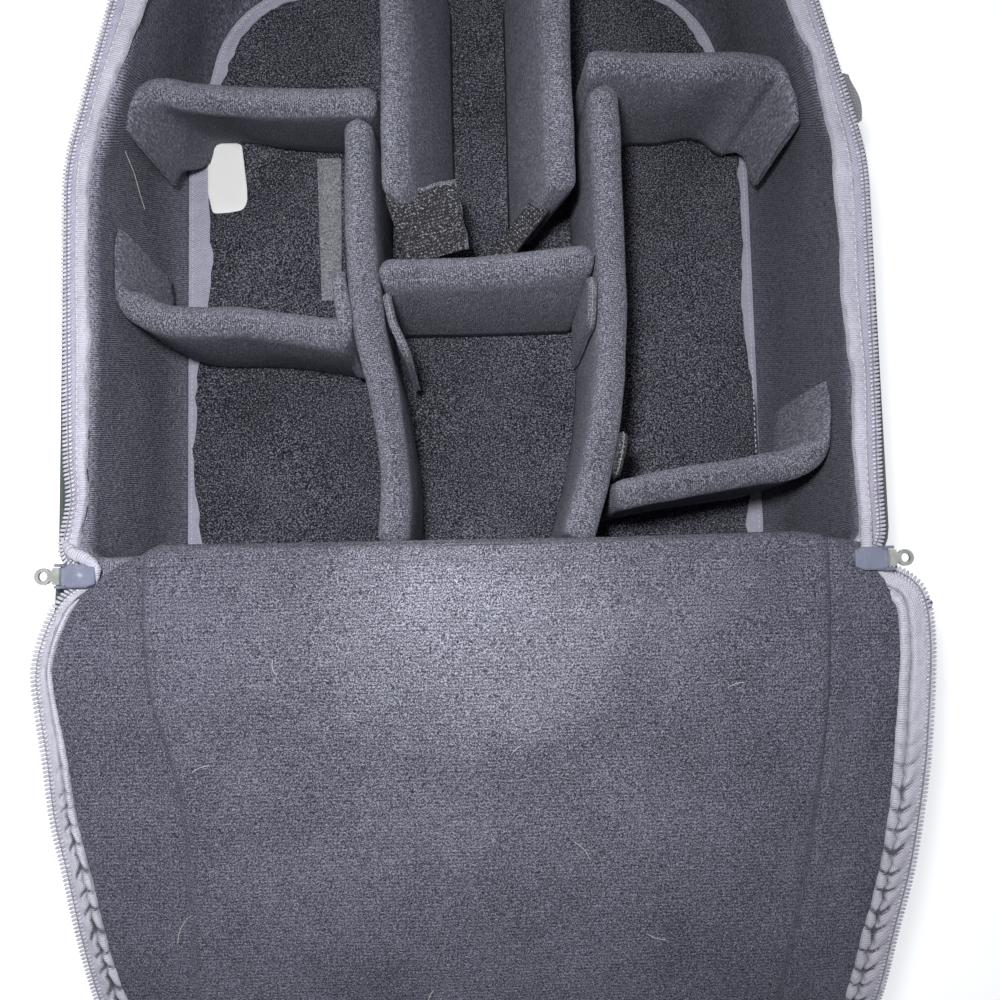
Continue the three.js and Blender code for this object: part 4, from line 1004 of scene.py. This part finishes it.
def rounded(points, step=1.5, passes=10):
    """The polyline with its corners smoothed away, in even steps."""
    points = np.array(points, float)
    chord = np.concatenate([[0], np.cumsum(np.linalg.norm(np.diff(points, axis=0), axis=1))])
    at = np.linspace(0, chord[-1], round(chord[-1] / step))
    points = np.column_stack([np.interp(at, chord, column) for column in points.T])
    for _ in range(passes):
        points[1:-1] = 0.25 * points[:-2] + 0.5 * points[1:-1] + 0.25 * points[2:]
    return points


flap_plan = rounded(FLAP_RIGHT + FLAP_LEFT[::-1], passes=14)
gusset_height = np.array([flap_top(t) for t in flap_plan[:, 1]]) - 5.2
gusset_height -= 3.0 * smooth(-8, 2, flap_plan[:, 1])
flap = Line(np.column_stack([flap_plan, gusset_height]), 0.9)
FLAP_BAND = {
    -1: [(-286, 0.84), (-200, 0.8), (-150, 0.72), (-126, 0.62), (-65, 0.5), (-20, 0.36), (2, 0.34)],
    1: [(-286, 0.84), (-200, 0.88), (-150, 0.88), (-100, 0.82), (-60, 0.88), (-20, 0.84), (2, 0.8)],
}
flap_share = np.where(
    flap.spots[:, 0] < 0, bend(FLAP_BAND[-1], flap.spots[:, 1]), bend(FLAP_BAND[1], flap.spots[:, 1]),
)
inner_edge = flap.spots[:, :2] + (2 + 7.5 * flap_share)[:, None] * flap.inward[:, :2]
lowest = int(np.argmin(inner_edge[:, 1]))
right_branch, left_branch = inner_edge[:lowest + 1][::-1], inner_edge[lowest:]
CREASE_LEFT = [
    (-290, -84), (-220, -96), (-148, -104), (-113, -104), (-68, -106), (-37, -114), (-6, -116), (12, -116)
]
CREASE_RIGHT = [
    (-290, 84), (-220, 96), (-154, 107), (-102, 115), (-60, 120), (-37, 122), (-6, 123), (12, 123)
]
CORNER_LEFT = [
    (-12, -145), (-7.5, -142.4), (-2.6, -136.2), (0.8, -132.6), (5.6, -125.2), (10.4, -115.4),
    (13.3, -110)
]
CORNER_RIGHT = [
    (-6, 144), (-3, 141.6), (0, 139.6), (3, 137.6), (6.6, 134), (9.9, 126.6), (11.7, 119.5), (13.3, 110)
]


def lining_edges(t):
    """Where the lining meets the binding on the left and right, at each t."""
    left = np.interp(t, left_branch[:, 1], left_branch[:, 0])
    right = np.interp(t, right_branch[:, 1], right_branch[:, 0])
    near = smooth(-12, -5, t)
    left = left + (bend(CORNER_LEFT, t) - left) * near
    right = right + (bend(CORNER_RIGHT, t) - right) * near
    return left, right


def lining_height(x, t, left, right):
    """The lining's surface: foam core, creases at its sides, and gussets sinking to the binding."""
    inside = np.minimum(x - bend(CREASE_LEFT, t), bend(CREASE_RIGHT, t) - x)
    to_edge = np.minimum(x - left, right - x)
    late = smooth(-60, -110, t)
    z = flap_top(t) - 3.6 * (1 - smooth(-9, 4, inside))
    z = z - (2.6 - 0.4 * late) * np.exp(-((inside / (1.2 + 1.8 * late)) ** 2))
    z = z - 2.2 * np.exp(-np.clip(to_edge, 0, None) / 5)
    z = z + 1.6 * (1 - np.clip((x - 5) / 125, -1, 1) ** 2) * smooth(8, -30, t)
    spots = np.stack([x, t, 0 * x], -1)
    z = z + 1.3 * crumple(spots, 70, 90) + 0.5 * crumple(spots, 24, 91) + 0.18 * crumple(spots, 9, 92)
    z = z + 0.7 * np.exp(-(((t - 5.4) / 0.7) ** 2)) - 4.2 * smooth(7.5, 14, t) ** 2
    return z


def hinge_sag(x, t):
    """How far the rounded edge at the hinge draws back in its middle."""
    return 3.2 * smooth(3, 13.2, t) * (1 - np.clip(np.abs(x) / 115, 0, 1) ** 2)


# The lining carries painted light: a painted pool of light palest just below the middle of the hinge, darker
# down the panel and towards its sides.
lining_knit = knit(
    "flap_heather_knit", (0.012, 0.012, 0.018), (0.168, 0.17, 0.22), (0.62, 0.62, 0.73), 0.07,
    rib_pitch=0.0013, grain=2300, sheen=0.12, tall=1.0,
    painted_light_pool=((0, -0.162, 0), 0.125, (0.56, 0.56, 0.58), (0.49, 0.49, 0.53)), depth=0.0007,
)
far_end = max(right_branch[0, 1], left_branch[0, 1]) + 1.5
stations = np.concatenate([
    np.linspace(13.2, 3, 20), np.linspace(2.4, -40, 30), np.linspace(-42, far_end + 25, 78),
    np.linspace(far_end + 22, far_end, 12),
])
rows = []
for t in stations:
    left, right = lining_edges(t)
    marks = [
        left, max(left + 2, float(bend(CREASE_LEFT, t))), min(right - 2, float(bend(CREASE_RIGHT, t))),
        right
    ]
    even = [np.linspace(0, 1, n) for n in (30, 91, 30)]
    x = [
        a + (b - a) * (0.5 * part + 0.5 * (0.5 - 0.5 * np.cos(math.pi * part))) for a, b,
        part in zip(marks, marks[1:], even)
    ]
    x = np.concatenate([x[0], x[1][1:], x[2][1:]])
    along_t = t - hinge_sag(x, t)
    upper = np.column_stack([x, along_t, lining_height(x, along_t, left, right)])
    x_low = np.linspace(right - 1, left + 1, 14)
    lower = np.column_stack([x_low, t - hinge_sag(x_low, t), np.full(14, float(flap_top(t)) - 8)])
    if t > 4:
        lower[:, 2] = float(flap_top(t)) - 8 + 2.5 * smooth(4, 13.2, t)
    rows.append(np.vstack([upper, lower]))
lining = skin("flap_lining_visual", rows, lining_knit)
fit(lining, "flap_lining_knit", "flap_lining")

panel_rows = []
for t in np.concatenate([np.linspace(-0.6, -30, 12), np.linspace(-34, far_end - 4, 60)]):
    left, right = lining_edges(max(t, far_end))
    x = np.linspace(left - 4, right + 4, 60)
    spots = np.stack([x, np.full(60, t), np.zeros(60)], -1)
    inside = np.minimum(x - bend(CREASE_LEFT, t), bend(CREASE_RIGHT, t) - x)
    under = float(flap_top(t)) - 8.4 - 0.5 * np.exp(-((inside / 2.5) ** 2))
    lower = under - 1.8 - 0.7 * (1 + crumple(spots, 40, 95)) * smooth(-4, 8, inside)
    panel_rows.append(np.vstack([
        np.column_stack([x, np.full(60, t), np.full(60, float(flap_top(t)) - 8.3)]),
        np.column_stack([x, np.full(60, t), lower])[::-1],
    ]))
panel = skin("back_panel_cloth", panel_rows, pack_cloth)
fit(panel, "pack_cloth", "flap_shell")


# Zip round the back panel
# The same coil, tape and binding run round the free edge of the back panel. Sewn on the curve,
# the tape puckers into crescents against the gathered binding.
SCALLOP = 7.8
gather = smooth(-45, -105, flap.spots[:, 1]) * 0.9 + 0.1
wander = flap.at / SCALLOP + 0.6 * ripple(flap.at, 22, 120) + 0.3 * ripple(flap.at, 9, 121)
tuck = wander - np.floor(wander)
lobe = np.clip(4 * tuck * (1 - tuck), 0, 1) ** 0.6
edge = (8.3 + 1.5 * gather * (lobe - 0.6) + 0.3 * ripple(flap.at, 12, 124))[:, None]
tape_insets = np.array([0.3, 0.3, 2.0, 3.2, 4.4, 5.6])
near_edge = edge + np.array([-1.6, -0.9, -0.4, 0.0, 0.15, 0.2])
flap_tape_section = np.empty((len(flap.spots), 12, 2))
flap_tape_section[:, :6, 0] = tape_insets
flap_tape_section[:, 6:, 0] = near_edge
slant = wander[:, None] - 0.5 * np.clip((flap_tape_section[..., 0] - 3) / 6, 0, 1)
puff = np.abs(np.sin(math.pi * slant)) ** 0.5
tape_rises = np.array([0, 0.8, 0.9, 1.1, 1.3, 1.5, 1.7, 1.8, 1.6, 1.0, 0.0, -1.4])
tape_share = np.array([0, 0, 0.12, 0.4, 0.8, 1.1, 1.2, 1.2, 1.1, 0.8, 0.4, 0])
deep = (gather * (0.75 + 0.5 * ripple(flap.at, 17, 122)))[:, None]
flap_tape_section[..., 1] = tape_rises + 3.0 * deep * (puff - 0.6) * tape_share
# Painted shade: dark lines in the furrows between the puckers and along the tape's edge under the binding,
# stored on the tape as its fold shade.
furrow_shade = np.exp(-(((slant - np.round(slant)) / 0.1) ** 2)) * smooth(3.6, 6.2, flap_tape_section[..., 0])
lip_shade = np.array([0, 0, 0, 0, 0, 0, 0, 0, 0.15, 0.5, 0.8, 0.9])
broken_shade = smooth(0.2, 0.5, tuck) * smooth(-0.3, 0.35, ripple(flap.at, 13, 125))
tape_fold_shade = np.clip(gather[:, None] * (0.95 * furrow_shade + lip_shade * broken_shade[:, None]), 0, 1)
flap_twill = herringbone("flap_lilac_tape", (0.72, 0.71, 0.82), (0.46, 0.45, 0.54))
flap_tape = skin("flap_zip_tape_visual", flap.rows(narrowed(flap_tape_section, flap_share)), flap_twill)
fit(with_painted_fold_shade(flap_tape, tape_fold_shade), "zip_tape", "flap_zip_tape")

binding_wave = 5.2 + 0.6 * ripple(flap.at, 24, 97) + 0.5 * ripple(flap.at, 8, 98)
binding_shares = np.array([0, 0.05, 0.2, 0.4, 0.6, 0.8, 0.95, 1.0, 0.9, 0.4])
binding_rises = np.array([-1.2, -0.4, 0.9, 1.7, 2.0, 1.9, 1.3, -0.6, -1.6, -1.4])
flap_binding_section = np.empty((len(flap.spots), 10, 2))
flap_binding_section[..., 0] = edge + binding_shares * (8.4 + binding_wave[:, None] - edge)
cross_slant = wander[:, None] + 0.42 + 0.25 * binding_shares
pinch = np.abs(np.sin(math.pi * cross_slant)) ** 0.5
crown = np.array([0, 0.2, 0.7, 1, 1, 1, 0.8, 0.3, 0, 0])
flap_binding_section[..., 1] = binding_rises + 1.9 * deep * (pinch - 0.6) * crown
flap_binding_section[:, 5:8, 0] += (0.35 * gather[:, None] * (pinch[:, 5:8] - 0.5))
# Painted shade: dark notches across the binding between its gathers and along its edge beside the tape, stored
# as its fold shade.
notch_shade = np.exp(-(((cross_slant - np.round(cross_slant)) / 0.09) ** 2)) * crown
rim_shade = np.array([0.9, 0.75, 0.3, 0, 0, 0, 0, 0, 0, 0])
binding_fold_shade = np.clip(gather[:, None] * (0.8 * notch_shade + rim_shade * broken_shade[:, None]), 0, 1)
flap_ribbed = ribbed("flap_lilac_binding", (0.74, 0.73, 0.84), (0.48, 0.475, 0.56))
flap_binding = skin("flap_binding_visual", flap.rows(narrowed(flap_binding_section, flap_share)), flap_ribbed)
fit(with_painted_fold_shade(flap_binding, binding_fold_shade), "binding", "flap_binding")
coil("flap_zip_coil_visual", flap.spots, "zip_coil", "flap_zip_coil", rise=1.5, hang=1.0)


# Lint
# A few pale hairs and ends of thread cling to the knit.
# Each is a thin bent strand on the back panel's lining or on the wall.
lint_fibre, lint_shader = new_finish("pale_lint", 0.8, Sheen_Weight=0.3)
lint_tint = spot(lint_fibre, 900, 2)
surface(
    lint_fibre, lint_shader, ramp(lint_fibre, lint_tint, (0.3, 0.4, 0.4, 0.4), (0.7, 0.62, 0.6, 0.58)),
    lint_tint, 0.00005
)
LINT = [
    (-105, -121, 12, 60, 0.5), (-96, -64, 6, 20, 0.3), (34, -96, 8, 130, -0.4), (-20, -150, 9, 75, 0.4),
    (88, -40, 6, 15, 0.4), (-70, -30, 5, 100, 0.6), (12, -60, 4, 40, 0.2), (60, -128, 7, 160, 0.3),
]
LINT_ON_WALL = [(-136.8, 176, 118), (-136, 171, 112), (-135.2, 166, 104), (-135, 160, 97), (-134.4, 155, 92)]
wall_hair = skin("lint_hair_on_wall", strand(LINT_ON_WALL, 0.12, 5), lint_fibre)
fit(wall_hair, "loop_knit")
for number, (x, t, length, heading, bow) in enumerate(LINT):
    share = np.linspace(-0.5, 0.5, 9)
    along, aside = share * length, bow * length * (0.25 - share**2)
    angle = math.radians(heading)
    xs = x + along * math.cos(angle) - aside * math.sin(angle)
    ts = t + along * math.sin(angle) + aside * math.cos(angle)
    left, right = lining_edges(t)
    zs = lining_height(xs, ts, left, right) + 0.25
    hair = skin(f"lint_hair_{number + 1}", strand(np.column_stack([xs, ts, zs]), 0.11, 5), lint_fibre)
    fit(hair, "flap_lining_knit")


# Zip sliders and pulls
# Die-cast sliders in pale blue-grey enamel stop at both ends of the opening. Each carries a
# loose ring pull that turns on a bar between two lugs.
enamel, enamel_shader = new_finish("blue_grey_enamel", 0.38, Coat_Weight=0.3, Coat_Roughness=0.2)
rub = spot(enamel, 300, 4)
enamel_colour = ramp(
    enamel, rub, (0.25, 0.15, 0.165, 0.235), (0.62, 0.2, 0.215, 0.3), (0.78, 0.42, 0.43, 0.49)
)
surface(enamel, enamel_shader, enamel_colour, rub, 0.00005)
pull_coat, pull_shader = new_finish("grey_pull_coat", 0.45, Coat_Weight=0.15)
pull_wear = spot(pull_coat, 260, 3)
surface(
    pull_coat, pull_shader,
    ramp(pull_coat, pull_wear, (0.3, 0.22, 0.235, 0.215), (0.7, 0.4, 0.415, 0.39)), pull_wear, 0.00005
)
for side in ("left", "right"):
    for part, coat in (("slider", enamel), ("pull", pull_coat)):
        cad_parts[f"{side}_{part}"].data.materials.clear()
        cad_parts[f"{side}_{part}"].data.materials.append(coat)


# Side pockets and side tab
# Pouches of the same cloth are sewn on both flanks, gathered by an elastic hem at their mouth.
# A short webbing tab is sewn on the right flank above the pocket.
POCKET = [(0, 0.35), (0.06, 0.9), (0.5, 1), (0.88, 0.95), (0.97, 0.8), (1, 0.7)]
for side, name in ((-1, "left_side_pocket"), (1, "right_side_pocket")):
    rows = []
    for share in np.linspace(0, 1, 56):
        t = 10 + 162 * share
        depth = 15 * float(bend(POCKET, share))
        low = 14 + 104 * (0.12 * (1 - smooth(0, 0.08, share)) + 0.04 * smooth(0.92, 1, share))
        high = 118 - 104 * (0.1 * (1 - smooth(0, 0.08, share)) + 0.07 * smooth(0.92, 1, share))
        angle = np.linspace(0, math.pi, 22)
        z = (low + high) / 2 - (high - low) / 2 * np.cos(angle)
        out = depth * np.sin(angle) ** 0.45 * (1 - 0.42 * smooth(70, 104, z))
        pull_in = 1 - 0.12 * math.exp(-(((share - 0.95) / 0.02) ** 2))
        x = 150.2 + out * pull_in
        back = np.linspace(z[-1], z[0], 6)[1:-1]
        ring = np.vstack([
            np.column_stack([x, np.full(22, t), z]),
            np.column_stack([np.full(4, 150.2), np.full(4, t), back]),
        ])
        fold = 1.4 * crumple(ring, 26, 100) + 0.6 * crumple(ring * (1, 1, 0.4), 9, 101)
        gathers = 0.5 * np.sin(ring[:, 2] * 0.9) * smooth(0.85, 0.97, share)
        ring[:22, 0] += ((fold[:22] + gathers[:22]) * np.sin(angle))
        ring[:, 0] *= side
        rows.append(ring)
    fit(skin(name + "_visual", rows, pack_cloth), "pack_cloth", name)
    rows = np.array(rows)
    hem = strand(rows[-1, :22] + (0, 0.3, 0), 1.5)
    fit(skin(name + "_hem", hem, piping_cloth), "pack_cloth")

webbing_finish = woven("grey_webbing", (0.2, 0.2, 0.23), (0.38, 0.38, 0.43), 0.0014, 0.6)
tab_rows = []
for t in np.linspace(178, 196, 12):
    base = 152.2 - 0.25 * (t - 168)
    fold = 1 + 0.3 * math.sin(math.pi * (t - 178) / 18)
    section = np.array([(0, 0), (4, 0.4), (6.3, 1.5), (7 * fold, 4), (6.3, 6.5), (4, 7.6), (0, 8), (1, 4)])
    tab_rows.append(np.column_stack([base + section[:, 0], np.full(8, t), 112 + section[:, 1]]))
fit(skin("right_side_tab_visual", tab_rows, webbing_finish), "webbing", "right_side_tab")


# Shoulder straps
# Two padded straps are sewn to the far end of the back panel and lie on the ground under it.
# Each ends in a ladder buckle; a webbing tail runs from it up to the anchor at the hinge corner.
strap_cloth = woven("strap_cloth", (0.03, 0.036, 0.038), (0.085, 0.1, 0.1), 0.0011)
STRAP_ROWS = {
    "width": [(0, 0.8), (0.06, 0.95), (0.16, 1), (0.4, 1), (0.7, 0.95), (0.95, 0.8), (1, 0.62)],
    "thick": [(0, 0.5), (0.06, 0.9), (0.16, 1), (0.7, 1), (0.95, 0.9), (1, 0.5)],
    "lift": [(0, 1), (0.06, 0.55), (0.16, 0.0), (0.4, 0), (1, 0)],
}
STRAP_NEAR, STRAP_LENGTH = -256.5, 150.0
buckle_plastic, buckle_shader = new_finish("black_buckle_plastic", 0.45)
moulding = spot(buckle_plastic, 900, 2)
surface(
    buckle_plastic, buckle_shader,
    ramp(buckle_plastic, moulding, (0.3, 0.012, 0.013, 0.014), (0.75, 0.03, 0.03, 0.033)), moulding,
    0.00006
)


def join(name, rods, finish):
    """One piece of several rods, each given as rows of points."""
    shape = bmesh.new()
    for rod in rods:
        part = skin(name + "_part", rod, finish)
        shape.from_mesh(part.data)
        bpy.data.objects.remove(part)
    mesh = bpy.data.meshes.new(name)
    shape.to_mesh(mesh)
    shape.free()
    return finished(name, mesh, finish)


def bar(start, end, width, height):
    """A rod of rounded section from start to end, lying flat."""
    start, end = np.array(start, float), np.array(end, float)
    run = (end - start) / np.linalg.norm(end - start)
    side = np.cross(run, (0, 0, 1.0))
    angle = np.arange(12) * math.pi / 6
    swing = np.outer(np.cos(angle) * width / 2, side) + np.outer(np.sin(angle) * height / 2, (0, 0, 1.0))
    places = [(0, 0.6), (0.6, 1), (np.linalg.norm(end - start) - 0.6, 1), (np.linalg.norm(end - start), 0.6)]
    return np.array([start + run * place + swing * full for place, full in places])


for side, name in ((-1, "left"), (1, "right")):
    rows = []
    for share in np.linspace(0, 1, 60):
        t = STRAP_NEAR + STRAP_LENGTH * share
        centre = side * (58 + 16 * math.sin(math.pi * share))
        half = 29 * float(bend(STRAP_ROWS["width"], share))
        high = 12 * float(bend(STRAP_ROWS["thick"], share))
        base = 35 * max(0.0, float(bend(STRAP_ROWS["lift"], share)))
        angle = np.linspace(0, 2 * math.pi, 30, endpoint=False)
        across = np.sign(np.cos(angle)) * np.abs(np.cos(angle)) ** 0.55
        rise = 0.5 + 0.5 * np.sign(np.sin(angle)) * np.abs(np.sin(angle)) ** 0.6
        channel = 1.1 * np.exp(-(((np.abs(across) - 0.8) / 0.06) ** 2)) * (rise > 0.5)
        ring = np.column_stack([centre + across * half, np.full(30, t), base + rise * high - channel])
        ring[:, 2] += 0.7 * crumple(ring, 26, 110) * (rise > 0.3)
        rows.append(ring)
    pad = skin(f"{name}_shoulder_strap_visual", rows, strap_cloth)
    fit(pad, "pack_cloth", f"{name}_shoulder_strap")

    x, near, far = side * 58, -106.2, -76.2
    rails = [bar((x + e * 14.6, near, 3), (x + e * 14.6, far, 3), 3.6, 5.6) for e in (-1, 1)]
    rungs = [bar((x - 14.5, t, 3), (x + 14.5, t, 3), w, h) for t, w, h in (
        (near + 2.2, 4, 5), (near + 11, 3.4, 4.4), (near + 19.5, 3.4, 4.4), (far - 2.2, 4, 5),
    )]
    buckle = join(f"{name}_buckle_visual", rails + rungs, buckle_plastic)
    fit(buckle, "buckle_plastic", f"{name}_buckle")

    path = np.array([(58, -75.9, 1.2), (78, -63, 14.8), (97.5, -50, 42.4), (117, -37, 84), (137, -24, 139.2)])
    share = np.linspace(0, 1, 40)
    curve = np.column_stack(
        [bend(np.column_stack([np.linspace(0, 1, 5), column]), share) for column in path.T]
    )
    section = np.array(
        [(-12.5, 0), (-12.3, 1.5), (-6, 1.6), (0, 1.65), (6, 1.6), (12.3, 1.5), (12.5, 0), (0, -0.05)]
    )
    rows = curve[:, None] + np.stack([
        np.broadcast_to(section[:, 0], (40, 8)), np.zeros((40, 8)), np.broadcast_to(section[:, 1], (40, 8)),
    ], -1)
    rows[..., 0] *= side
    fit(skin(f"{name}_webbing_visual", rows, webbing_finish), "webbing", f"{name}_webbing")

    tip = 162.5 if side > 0 else 149.0
    tip_t = -12 if side > 0 else 3
    corners = [(122.5, -5), (134, -4), (tip, tip_t), (tip, tip_t - 3), (150, -30), (122.5, -44)]
    anchor = plate(
        f"{name}_strap_anchor_visual", [(side * a, b) for a, b in corners], 1.3, pack_cloth, 141.4,
        curl=0.3, radius=4
    )
    fit(anchor, "pack_cloth", f"{name}_strap_anchor")
